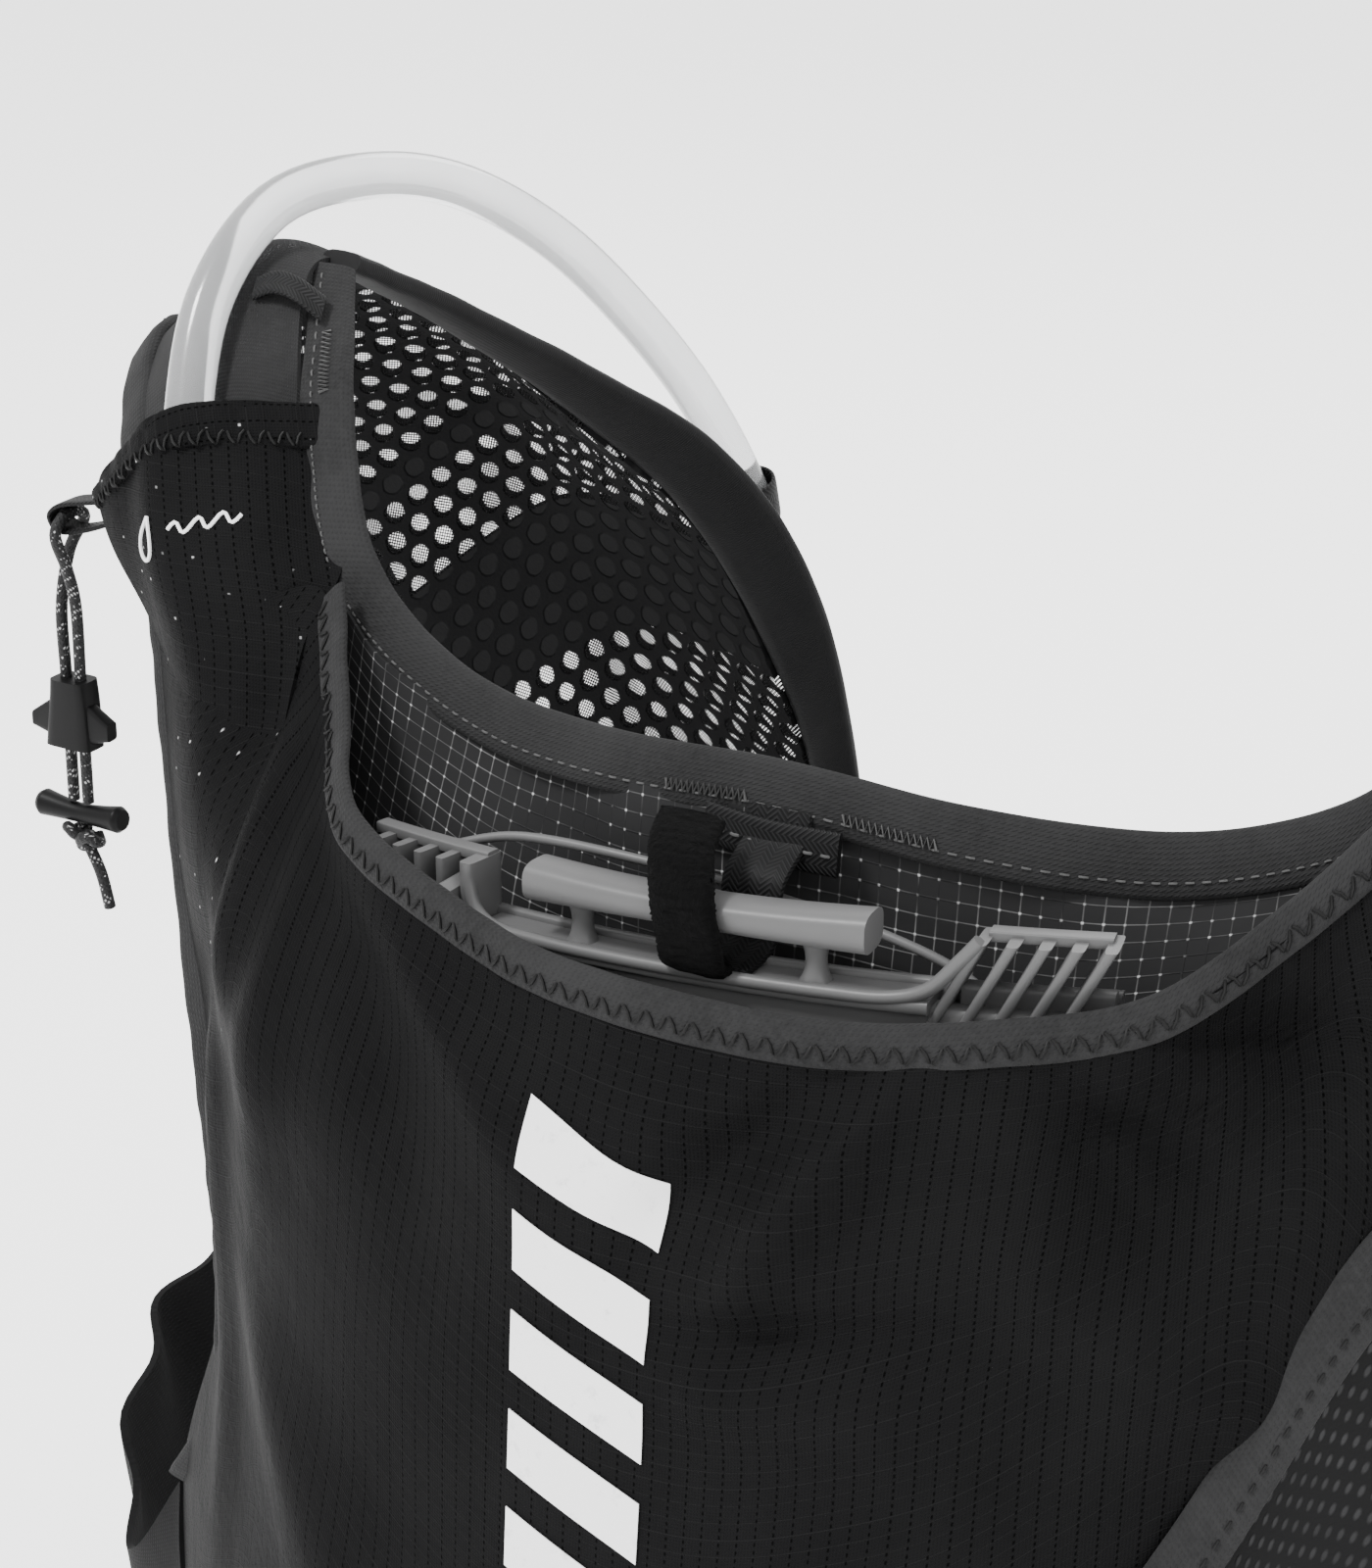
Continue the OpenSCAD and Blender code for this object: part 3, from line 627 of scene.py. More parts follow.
# %% Lining finish
def lining_ripstop():
    f = Finish("lining_ripstop", (0.012, 0.012, 0.0125), 0.6, Specular_IOR_Level=0.08)
    u, v, _ = f.split(f.place())
    pitch, yarn_width, dot_width = 0.0036, 0.00036, 0.00065
    grid = f.either(f.line(u, pitch, yarn_width), f.line(v, pitch, yarn_width))
    crossing = f.times(f.line(u, pitch, dot_width), f.line(v, pitch, dot_width))
    patchy = f.times(grid, f.ramp(f.noise(0.014, 3), 0.36, 0.66))
    cloth = f.blend(patchy, (0.018, 0.018, 0.0185), (0.13, 0.13, 0.13))
    bright = f.times(crossing, f.ramp(f.noise(0.007, 2), 0.4, 0.62))
    f.colour(f.blend(bright, cloth, (0.55, 0.55, 0.55)))
    f.bump(grid, 0.0001, 0.7, under=f.bump(f.noise(0.008, 3), 0.0003, 0.5))
    return f.material


lining_cloth = lining_ripstop()
print(lining_cloth.name)

# %% [markdown]
# The edge tapes are a stretch knit, brushed on the face: dark grey, soft, with fine ribs along
# the tape. The yokes and wings are plainer knits, so one function makes all three with their
# own colours and ribs. The straps' neck edge is a smoother, darker tape.

# %% Knit and tape finishes
def knit(name, dark, light, rib, nap):
    f = Finish(name, light, 0.8, Specular_IOR_Level=0.03, Sheen_Weight=0.03, Sheen_Roughness=0.45)
    u, v, _ = f.split(f.place())
    ribs = f.times(f.line(u, rib, rib * 0.7), f.line(v, rib * 1.3, rib * 0.9))
    fuzz = f.noise(nap, 4, roughness=0.7)
    patches = f.noise(0.03, 3)
    tone = f.blend(f.ramp(fuzz, 0.25, 0.75), dark, light)
    f.colour(f.blend(f.ramp(patches, 0.3, 0.8), tone, tuple(c * 1.18 for c in light)))
    f.bump(f.plus(f.times(ribs, 0.6), fuzz), 0.00022, 0.85)
    f.rough(0.7, 0.92, fuzz)
    return f.material


def smooth_tape():
    f = Finish("smooth_tape", (0.01, 0.01, 0.0105), 0.55, Specular_IOR_Level=0.12, Sheen_Weight=0.02)
    worn = f.noise(0.02, 4)
    f.colour(f.blend(worn, (0.005, 0.005, 0.0053), (0.010, 0.010, 0.0103)))
    u, v, _ = f.split(f.place())
    f.bump(f.line(v, 0.0005, 0.0003), 0.00006, 0.6, under=f.bump(f.noise(0.01, 3), 0.0004, 0.6))
    f.rough(0.5, 0.68, worn)
    return f.material


grey_tape = knit("grey_tape", (0.012, 0.012, 0.0122), (0.023, 0.023, 0.0234), 0.0009, 0.0016)
yoke_cloth = knit("yoke_cloth", (0.015, 0.015, 0.0153), (0.022, 0.022, 0.0224), 0.0007, 0.003)
wing_cloth = knit("wing_cloth", (0.006, 0.006, 0.0062), (0.01, 0.01, 0.0102), 0.0011, 0.004)
dark_tape = smooth_tape()
print(grey_tape.name, yoke_cloth.name, wing_cloth.name, dark_tape.name)

# %% [markdown]
# The strap's body is a spacer mesh: two knitted faces with rows of round holes, and a fine net
# left across each hole. Four bands of it are open, and the bands between are backed, so their
# holes are only dimples. The holes sit in rows shifted by half a step, like a honeycomb. Cut
# in the mesh they would be thousands of edges, so they are cut in the transparency.

# %% Mesh finishes
def round_dots(f, u, v, pitch, radius, soft):
    """1 inside round dots set like a honeycomb."""
    row = pitch * 0.866
    masks = []
    for shift in (0.0, 0.5):
        x = f.minus(f.math("FRACT", f.plus(f.math("DIVIDE", u, pitch), shift)), 0.5)
        y = f.minus(f.math("FRACT", f.plus(f.math("DIVIDE", v, 2 * row), shift)), 0.5)
        x, y = f.times(x, pitch), f.times(y, 2 * row)
        far = f.math("SQRT", f.plus(f.times(x, x), f.times(y, y)))
        masks.append(f.ramp(far, radius + soft, radius - soft))
    return f.either(masks[0], masks[1])


def spacer_mesh(open_bands):
    f = Finish("spacer_mesh", (0.006, 0.006, 0.006), 0.75, Specular_IOR_Level=0.08)
    u, v, _ = f.split(f.place())
    wobble = f.times(f.minus(f.noise(0.004, 2), 0.5), 0.0012)
    holes = round_dots(f, f.plus(u, wobble), f.plus(v, wobble), 0.0072, 0.0025, 0.00025)
    down = f.times(v, -1.0)
    band = None
    for low, high in open_bands:
        inside = f.times(f.math("GREATER_THAN", down, low), f.math("LESS_THAN", down, high))
        band = inside if band is None else f.either(band, inside)
    net = f.either(f.line(f.plus(u, v), 0.0009, 0.00042), f.line(f.minus(u, v), 0.0009, 0.00042))
    through = f.times(f.times(holes, band), f.minus(1.0, net))
    f.wire(f.minus(1.0, through), f.shader.inputs["Alpha"])
    f.colour(f.blend(holes, (0.004, 0.004, 0.0043), (0.009, 0.009, 0.0093)))
    f.bump(f.times(holes, -1.0), 0.0009, 0.8, under=f.bump(f.noise(0.0008, 3), 0.0002, 0.7))
    return f.material


def dotted_mesh():
    f = Finish("dotted_mesh", (0.008, 0.008, 0.0085), 0.6, Specular_IOR_Level=0.08)
    u, v, _ = f.split(f.place())
    holes = round_dots(f, u, v, 0.0042, 0.0009, 0.0003)
    faded = f.times(holes, f.ramp(f.noise(0.03, 3), 0.3, 0.7))
    f.colour(f.blend(faded, (0.005, 0.005, 0.0052), (0.035, 0.035, 0.036)))
    f.bump(holes, 0.0003, 0.7, under=f.bump(f.noise(0.0007, 2), 0.00012, 0.6))
    return f.material


BANDS = [(0.012, 0.059), (0.065, 0.088), (0.121, 0.160), (0.200, 0.290)]  # metres down the strap
mesh_cloth, pocket_mesh = spacer_mesh(BANDS), dotted_mesh()
print("open bands", len(BANDS))

# %% [markdown]
# Narrow goods: webbing woven in a herringbone, the brushed hook-and-loop tab, and the pole
# cord, a braided sleeve whose black yarns are crossed by white flecks. Each pattern is lines on
# the piece's own map, so it bends with the webbing and runs round the cord.

# %% Webbing, nap and cord finishes
def webbing():
    dark, light = (0.004, 0.004, 0.0042), (0.013, 0.013, 0.0135)
    f = Finish("webbing", light, 0.55, Specular_IOR_Level=0.12)
    u, v, _ = f.split(f.place())
    zig = f.math("ABSOLUTE", f.minus(f.math("FRACT", f.math("DIVIDE", u, 0.004)), 0.5))
    ribs = f.line(f.plus(v, f.times(zig, 0.004)), 0.0011, 0.0007)
    f.colour(f.blend(ribs, dark, light))
    f.bump(ribs, 0.00025, 0.9)
    return f.material


def loop_nap():
    f = Finish("loop_nap", (0.002, 0.002, 0.002), 0.95, Specular_IOR_Level=0.03,
               Sheen_Weight=0.02, Sheen_Roughness=0.35)
    fuzz = f.noise(0.0011, 5, roughness=0.8)
    f.colour(f.blend(fuzz, (0.0008, 0.0008, 0.0008), (0.006, 0.006, 0.0062)))
    f.bump(fuzz, 0.0012, 1.0)
    return f.material


def flecked_cord():
    f = Finish("flecked_cord", (0.01, 0.01, 0.01), 0.6, Specular_IOR_Level=0.25)
    u, v, _ = f.split(f.place())
    braid_a = f.line(f.plus(u, v), 0.0013, 0.0009)
    braid_b = f.line(f.minus(u, v), 0.0013, 0.0009)
    fleck = f.times(f.times(braid_a, braid_b), f.ramp(f.noise(0.0016, 1), 0.56, 0.6))
    f.colour(f.blend(fleck, (0.009, 0.009, 0.0095), (0.42, 0.42, 0.42)))
    f.bump(f.either(braid_a, braid_b), 0.0002, 0.9)
    return f.material


black_webbing, tab_nap, cord_braid = webbing(), loop_nap(), flecked_cord()
print(black_webbing.name, tab_nap.name, cord_braid.name)

# %% [markdown]
# Plastics: the slide clip is a satin grey moulding, and the small hardware black acetal. The
# hose is a clear soft tube gone slightly milky and the bag a clear film, so both let most of
# the light through and keep a little colour of their own.

# %% Plastic finishes
def moulded(name, dark, light, roughness, shine=0.3):
    f = Finish(name, light, roughness, Specular_IOR_Level=shine)
    cloudy = f.noise(0.02, 4)
    f.colour(f.blend(cloudy, dark, light))
    f.bump(f.noise(0.0006, 2), 0.00003, 0.6)
    f.rough(roughness - 0.06, roughness + 0.08, f.noise(0.004, 3))
    return f.material


def clear_hose():
    f = Finish("clear_hose", (0.85, 0.86, 0.87), 0.16, Transmission_Weight=0.8, IOR=1.4,
               Coat_Weight=0.25, Coat_Roughness=0.12)
    cloudy = f.noise(0.018, 3)
    f.colour(f.blend(cloudy, (0.7, 0.71, 0.72), (0.85, 0.855, 0.86)))
    f.rough(0.12, 0.24, f.noise(0.006, 3))
    f.bump(f.noise(0.004, 2), 0.00004, 0.4)
    return f.material


def clear_film():
    f = Finish("clear_film", (0.8, 0.83, 0.86), 0.3, Transmission_Weight=0.55, IOR=1.4)
    cloudy = f.noise(0.02, 4)
    f.colour(f.blend(cloudy, (0.7, 0.74, 0.78), (0.86, 0.88, 0.9)))
    f.bump(f.noise(0.012, 4), 0.0012, 0.6)
    f.rough(0.22, 0.4, cloudy)
    return f.material


clip_grey = moulded("clip_grey", (0.075, 0.075, 0.0755), (0.1, 0.1, 0.1006), 0.4)
black_acetal = moulded("black_acetal", (0.003, 0.003, 0.003), (0.006, 0.006, 0.0063), 0.42, 0.1)
button_grey = moulded("button_grey", (0.12, 0.12, 0.12), (0.17, 0.17, 0.17), 0.4)
hose_clear, bag_film = clear_hose(), clear_film()
print(clip_grey.name, black_acetal.name, hose_clear.name, bag_film.name)

# %% [markdown]
# Thread is a dull twisted yarn. The print is a thin white film, worn a little at its thin spots.

# %% Thread and print finishes
def yarn(name, dark, light):
    f = Finish(name, light, 0.6, Specular_IOR_Level=0.2)
    f.colour(f.blend(f.noise(0.0012, 2), dark, light))
    f.bump(f.noise(0.0004, 2), 0.0001, 0.7)
    return f.material


def white_print():
    f = Finish("white_print", (0.85, 0.85, 0.85), 0.45)
    worn = f.noise(0.004, 5, roughness=0.7)
    f.colour(f.blend(f.ramp(worn, 0.22, 0.42), (0.6, 0.6, 0.61), (0.88, 0.88, 0.88)))
    f.bump(f.noise(0.0009, 2), 0.00006, 0.6)
    f.rough(0.35, 0.55, worn)
    return f.material


light_thread = yarn("light_thread", (0.045, 0.045, 0.045), (0.09, 0.09, 0.09))
black_thread = yarn("black_thread", (0.002, 0.002, 0.002), (0.006, 0.006, 0.006))
print_white = white_print()
print("finishes", len(bpy.data.materials))

# %% [markdown]
# The pale studio: a wide floor under the pack, which glows a little so that it stays as pale
# as the sky, one soft light from the upper left, and weaker ones from the right and behind.
# Disks are used because a disk's soft edge leaves no corner in a highlight.

# %% Floor and light
SKY, GLOW = 1.7, 1.1
bpy.ops.object.select_all(action="DESELECT")
bpy.ops.mesh.primitive_plane_add(size=30, location=(0, 0, cad_box[0][2] - 0.002))
floor = bpy.context.object
floor.name = "studio_floor"
floor_finish = Finish("studio_floor", (0.9, 0.9, 0.9), 0.9, Specular_IOR_Level=0.0,
                      Emission_Color=(1, 1, 1, 1), Emission_Strength=GLOW)
floor.data.materials.append(floor_finish.material)
world = bpy.data.worlds.new("studio")
world.use_nodes = True
sky = world.node_tree.nodes["Background"]
sky.inputs["Color"].default_value = (1, 1, 1, 1)
sky.inputs["Strength"].default_value = SKY
bpy.context.scene.world = world


def soft_light(name, place, target, size, power):
    bpy.ops.object.select_all(action="DESELECT")
    turn = (Vector(target) - Vector(place)).to_track_quat("-Z", "Y").to_euler()
    bpy.ops.object.light_add(type="AREA", location=place, rotation=turn)
    light = bpy.context.object
    light.name = name
    light.data.shape = "DISK"
    light.data.size = size
    light.data.energy = power


soft_light("key_light", (-0.75, -0.8, 1.45), (0, -0.05, -0.15), 0.4, 40)
soft_light("side_light", (1.3, -0.7, 0.5), (0, -0.05, -0.15), 0.9, 6)
soft_light("back_light", (-0.4, 1.3, 0.9), (0, 0, -0.05), 0.9, 12)
print("floor and lights ready")

# %% [markdown]
# Every new piece gets a finish and a moving body to ride on. It says which structural nodes it
# stands for, so that they are hidden, and which soft material it is.

# %% Dressing a piece
def dress(piece, finish, body="pack", stands_for=()):
    """Give a piece its finish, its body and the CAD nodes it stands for."""
    piece.data.materials.clear()
    piece.data.materials.append(finish)
    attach(piece, body)
    if stands_for:
        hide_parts(*stands_for)
    return piece


print("pieces can be dressed")

# %% [markdown]
# The drinking hose leaves the connector at the foot of the water bag, climbs inside the back
# pocket, comes out of the left sleeve, arches over the shoulder and runs down the front strap
# to the bite valve, which has a soft sleeve. Silicone this thick hardly sags, so the hose is
# swept along its curve and not simulated.

# %% Hose
HOSE_RADIUS = 4.75


def metres(points):
    return [tuple(c * MM for c in p) for p in points]


def path_length(points):
    return sum((Vector(q) - Vector(p)).length for p, q in zip(points, points[1:]))


def bite_radius(u):
    """Wide at the valve, waisted, with a lip at the tip."""
    return 7.6 - 1.6 * u - 0.9 * math.sin(math.pi * u) + (0.5 if u > 0.9 else 0)


hose_length = path_length(metres(evenly(hose_points, 240)))
hose = tube("hose", hose_points, HOSE_RADIUS, 200, 24)
dress(hose, hose_clear, stands_for=["hose"])
bite = tube("bite_sleeve", [(-86, 118, -233), (-86, 118, -245), (-86, 118, -257)], bite_radius, 40, 32)
dress(bite, hose_clear, stands_for=["bite_sleeve"])
hose_route = metres(evenly(hose_points, 60))
print("hose length", round(hose_length, 3))

# %% [markdown]
# Two pieces of black acetal sit on each pole cord: a wedge lock with a thumb fin on each side,
# and a bar toggle that is thick at its ends. Both are mouldings, so they are lofted with
# squared-off rings, which leaves soft edges and no need for a bevel.

# %% Locks and toggles
CORD_X, CORD_Y = 192, -20


def bar_radius(u):
    """Thin at the middle, thicker outwards, and drawn in at both ends."""
    out = abs(2 * u - 1)
    return 2.1 + 0.9 * out ** 1.5 - 8.4 * max(0, out - 0.9)


def cord_hardware(side, word):
    middle = side * CORD_X
    block = [(middle, -88.6), (middle, -93), (middle + side * 0.3, -98), (middle + side * 0.6, -103.4)]
    near, far = ([(x + way * (4.4 + 0.5 * i), CORD_Y, z) for i, (x, z) in enumerate(block)]
                 for way in (-1, 1))
    lock = tape(word + "_cord_lock", near, far, 40, 6.6, sides=28, puff=0.4, square=0.4)
    dress(lock, black_acetal, body=word + "_lock", stands_for=[word + "_cord_lock"])
    fins = []
    for letter, way, reach in (("a", -1, 10.2), ("b", 1, 9.6)):
        run = [(3.4, -20.6), (reach, -20.2)]
        fin = tape(word + "_lock_fin_" + letter, [(middle + way * x, y, -90 - 0.7 * x) for x, y in run],
                   [(middle + way * x, y, -103 + 0.25 * x) for x, y in run], 20, 3.4,
                   sides=24, puff=0.4, square=0.4)
        dress(fin, black_acetal, body=word + "_lock")
        fins.append(fin.name)
    line = [(middle - 11, CORD_Y, -118.2), (middle, CORD_Y, -118.8), (middle + 11, CORD_Y, -118.2)]
    bar = tube(word + "_cord_toggle", line, bar_radius, 60, 20)
    dress(bar, black_acetal, stands_for=[word + "_cord_toggle"])
    return [lock.name, bar.name] + fins


on_cord = {word: cord_hardware(side, word) for side, word in SIDES}
print("on each cord:", len(on_cord["left"]), "pieces")

# %% [markdown]
# Each pole cord is one elastic loop through the tab on the arm edge. Both strands drop through
# the lock into a knot under the toggle, and a short tail hangs below. It is limp and hangs
# straight, so its line follows from its two ends.

# %% Pole cords
CORD_RADIUS = 1.25
TOP = 6  # the point of the cord's outline that lies in the tab
for side, word in SIDES:
    loop = mirror(side, pole_cord_points)
    for letter, strand in (("a", loop[TOP::-1]), ("b", loop[TOP:])):
        cord = tube(word + "_pole_cord_" + letter, strand, CORD_RADIUS, 70)
        dress(cord, cord_braid, stands_for=[word + "_pole_cord"])
        route = metres(evenly(strand, 40))
    hang = mirror(side, [(190, -21, -125), (187, -21, -131), (186, -20, -139)])
    tail = tube(word + "_cord_tail", hang, CORD_RADIUS, 14)
    dress(tail, cord_braid)
print("pole cords ready")

# %% [markdown]
# The outer shell is one light panel. It hangs from the pocket mouth, is filled out by the water
# bag and drawn in at the hem. Folds run away from the mouth where the cloth is pulled, and each
# is written as a soft ridge along a line on the cloth: where it starts and ends, how high it
# stands and how wide it is. A cloth simulation would fold where it likes, and these folds have
# to be where the tape pulls. Small random slackness over the whole cloth breaks up the smoothness.

# %% Folds of the outer shell
FOLDS = [  # start x, z; end x, z; height; width, in mm
    (46, -84, 14, -134, 3.0, 5.5), (34, -84, -2, -126, -2.6, 6.5),
    (60, -82, 90, -112, -3.4, 7.0), (74, -80, 108, -104, 3.0, 7.5),
    (10, -138, 64, -129, -1.7, 6.0), (12, -150, 60, -142, 1.6, 9.0),
    (66, -74, 120, -82, -2.6, 4.5), (66, -114, 104, -142, 2.2, 9.0),
    (-62, -88, -14, -126, 2.0, 9.0), (-78, -88, -44, -140, -1.6, 9.0),
    (-100, -60, -112, -120, 2.2, 6.0), (-112, -64, -124, -130, -2.4, 6.0),
    (-90, -76, -100, -150, 1.6, 8.0), (-122, -120, -118, -230, 1.5, 6.0),
    (-96, -180, -30, -260, 1.8, 16.0), (60, -170, -20, -250, 2.0, 16.0),
    (-60, -270, 50, -320, 2.0, 16.0), (90, -210, 120, -320, 2.2, 12.0),
    (-130, -270, -60, -340, 2.2, 12.0), (-4, -96, -6, -150, 1.0, 14.0),
]
FOLD_HEIGHT = 2.0  # every height above is scaled by this
waves = random.Random(4)
SLACK = [(waves.uniform(0.02, 0.11), waves.uniform(-0.07, 0.07), waves.uniform(0, 6.28),
          waves.uniform(0.12, 0.35)) for _ in range(14)]
print("folds", len(FOLDS), "and", len(SLACK), "slack waves")

# %% [markdown]
# A fold is a bell-shaped ridge across its line that fades in at its start and out at its end.
# The folds die away at the pocket mouth and at the side seams, where tape holds the cloth flat.

# %% How far the shell stands out
def below_mouth(p):
    """0 at the pocket mouth, 1 from 16 mm under it, so the cloth runs smoothly into its tape."""
    x = abs(p.x)
    for (x0, _, z0), (x1, _, z1) in zip(mouth, mouth[1:]):
        if x <= x1:
            break
    rim = z0 + (z1 - z0) * min((x - x0) / (x1 - x0), 1)
    return min(1, max(0, (rim + 2 - p.z) / 16))


def shell_folds(p):
    """How far the shell's cloth stands out at a point (mm)."""
    lift = 0.0
    for x0, z0, x1, z1, height, width in FOLDS:
        run_x, run_z = x1 - x0, z1 - z0
        long = math.hypot(run_x, run_z)
        t = ((p.x - x0) * run_x + (p.z - z0) * run_z) / long ** 2
        away = ((p.x - x0) * run_z - (p.z - z0) * run_x) / long
        fade = 1 / (1 + math.exp(-(t + 0.02) * 14)) / (1 + math.exp((t - 0.95) * 9))
        swell = width * (0.7 + 0.5 * max(min(t, 1), 0))
        lift += FOLD_HEIGHT * height * fade * math.exp(-(away / swell) ** 2)
    for a, b, c, d in SLACK:
        lift += d * math.sin(a * p.x + b * p.z + c)
    edge = min(1, max(0, (152 - abs(p.x)) / 30))
    lift = lift * (0.25 + 0.75 * edge) * below_mouth(p)
    near_hose = math.exp(-((p.x + 112) / 22) ** 2 - ((p.z + 92) / 34) ** 2)
    return lift + near_hose * (1.2 + max(0, -lift))


print("at the centre of the back it stands", round(shell_folds(Vector((0, -118, -200))), 1), "mm out")

# %% [markdown]
# With its folds known, the shell is one dense panel. The lining behind it is quieter, because
# it is stretched flat by the wearer's back, and only waves a little.

# %% Outer shell and lining
shell = panel("outer_shell", shell_curves, 150, 150, 0.8, (0, -1, 0), shell_folds)
dress(shell, shell_cloth, stands_for=["outer_shell"])
print("shell", len(shell.data.polygons), "faces")


def lining_folds(p):
    return (0.9 * math.sin(p.x * 0.09 + p.z * 0.05) + 0.7 * math.sin(p.x * 0.05 - p.z * 0.11 + 1)
            + 0.4 * math.sin(p.x * 0.21 + 2))


lining = panel("back_lining", lining_curves, 90, 110, 0.8, (0, -1, 0), lining_folds)
dress(lining, lining_cloth, stands_for=["back_lining"])
print("lining", len(lining.data.polygons), "faces")

# %% [markdown]
# The neckline and the pocket mouth are each bound with one folded tape, the arm openings and
# the hem with others. Each is made from the same outline as the cloth it binds, so cloth and
# tape meet without being fitted to each other.

# %% Neckline, mouth, side and hem tapes
neckline = tape("neckline_tape", both(neck_top), both(neck_low), 260, 2.4, wobble=0.18)
dress(neckline, grey_tape, stands_for=["neckline_binding"])
mouth_top = [(x, y + 1, z + 8.5 - 0.5 * i) for i, (x, y, z) in enumerate(mouth)]
mouth_top = [p if i < 2 else (p[0] - 1.2 * i + 1, p[1], p[2]) for i, p in enumerate(mouth_top)]
mouth_low = [(x, y - 0.8, z) for x, y, z in mouth]
mouth_tape = tape("mouth_tape", both(mouth_top), both(mouth_low), 240, 2.4, wobble=0.15)
dress(mouth_tape, grey_tape, stands_for=["mouth_binding"])
side_outer, side_inner = moved(armhole, (3, 0, 0)), moved(armhole, (-7, -2, 0))
for side, word in SIDES:
    piece = tape(word + "_side_tape", mirror(side, side_outer), mirror(side, side_inner), 150, 2.2,
                 wobble=0.15)
    dress(piece, grey_tape, stands_for=[word + "_side_binding"])
hem = tape("hem_tape", both(moved(hem_half, (0, 6, 5))), both(moved(hem_half, (0, 5.5, -5))), 200, 3.4)
dress(hem, grey_tape, stands_for=["hem_binding"])
print("tapes ready")

# %% [markdown]
# Over the lower back a stretch-mesh pocket has a slanted mouth, bound with tape. It lies on the
# shell, so its outline needs only x and z, and `on_shell` looks up how far back the shell is.
# It follows most of the shell's folds too.

# %% Slanted pocket
mouth_line = [(137, -88), (116, -116), (94, -167), (64, -224), (22, -268), (-36, -294), (-96, -307),
              (-148, -312)]
foot_line = [(147, -362), (122, -365), (94, -366), (60, -367), (20, -368), (-36, -368), (-96, -366),
             (-147, -362)]
mid_line = [((a + c) / 2, (b + d) / 2) for (a, b), (c, d) in zip(mouth_line, foot_line)]


def on_shell(line, gap):
    return [(x, shell_y(x, z) - gap, z) for x, z in line]


def pocket_folds(p):
    return 0.8 * shell_folds(p) + 0.5


pocket = panel("lower_pocket", [on_shell(mouth_line, 3), on_shell(mid_line, 5), on_shell(foot_line, 1.6)],
               70, 110, 0.8, (0, -1, 0), pocket_folds)
dress(pocket, pocket_mesh, stands_for=["lower_pocket"])
across = [(x, y - shell_folds(Vector((x, y, z))) * 0.8, z) for x, y, z in on_shell(mouth_line, 4.2)]
pocket_edges = moved(across, (-4, 0, 4.5)), moved(across, (3.5, -0.6, -4.5))
pocket_tape = tape("lower_pocket_tape", *pocket_edges, 180, 2.2, wobble=0.1)
dress(pocket_tape, grey_tape, stands_for=["lower_pocket_binding"])
print("pocket ready")

# %% [markdown]
# Shoulders, straps and wings come in mirrored pairs. A Mirror modifier would join each pair in
# one mesh, so every loop below makes the left piece and then the right. The yoke is the knit
# saddle over the shoulder crest.

# %% Shoulder yokes
def soft_wave(p):
    return 0.5 * math.sin(p.x * 0.12 + p.y * 0.09) + 0.4 * math.sin(p.z * 0.13 + p.y * 0.05 + 1)


def pair(name, rows, down, across, thick, outward, finish, shape=soft_wave):
    """A left and a right panel, named and standing for the node of the same name."""
    made = {}
    for side, word in SIDES:
        way = (side * outward[0], *outward[1:])
        piece = panel(word + name, [mirror(side, r) for r in rows], down, across, thick, way, shape)
        made[word] = dress(piece, finish, stands_for=[word + name])
    return made


def pair_tape(name, edge, seam, rings, thick, finish, node=None, wobble=0.0):
    """A left and a right tape. node is the end of the node's name that each stands for."""
    for side, word in SIDES:
        piece = tape(word + name, mirror(side, edge), mirror(side, seam), rings, thick, wobble=wobble)
        dress(piece, finish, stands_for=[word + node] if node else ())


pair("_shoulder_yoke", yoke_rows, 50, 36, 1.2, (0, 0, 1), yoke_cloth)
print("yokes ready")

# %% [markdown]
# A sleeve of shell cloth leads the hose, or a cable, out of the pocket. It grows out of the
# shell: its lowest rows are points of the shell itself, and a loose panel laid over the shell
# would show a gap there. Its mouth has a hem rolled over and sewn with black zigzag.

# %% Sleeves
def shell_mark(u, down):
    """A point of the shell's right half, from 0.5 at the centre to 1 at the side, and down it."""
    return along([along(c, u) for c in shell_curves], down)


def sleeve_rise(p):
    """The sleeve lies just over the shell below and swells above."""
    swell = min(1, max(0, (p.z + 62) / 20))
    tuck = min(1, max(0, (p.z + 77) / 13))
    return ((1 - swell) * (shell_folds(p) + 1.6 * tuck - 1.1)
            + swell * (0.6 + 0.7 * math.sin(p.x * 0.3 + p.z * 0.12)))


root = [[shell_mark(u, down) for u in (0.86, 0.93, 0.995)] for down in (0.08, 0.035)]
sleeves = pair("_port_sleeve", root + sleeve_rows[1:], 60, 40, 1.0, (0, -1, 0.3), shell_cloth,
               sleeve_rise)
brow = moved(sleeve_rows[2], (0, -0.4, 0.6))
fold = [Vector(q).lerp(Vector(r), 0.3) + Vector((0, -0.9, 0)) for q, r in zip(sleeve_rows[2], sleeve_rows[1])]
pair_tape("_sleeve_hem", brow, fold, 70, 2.6, shell_cloth, wobble=0.1)
for side, word in SIDES:
    on_hem = tape_spot(mirror(side, brow), mirror(side, fold), 0.84, (0, -1, 0.4))
    dress(stitched(word + "_sleeve_stitch", on_hem, 0.1, 0.97, 16, WAVE, 1.2, 0.28), black_thread)
print("sleeves ready")

# %% [markdown]
# The front straps are thick spacer mesh, bound on the neck side with the smooth tape and on the
# arm side with the grey knit one, which starts behind the shoulder.

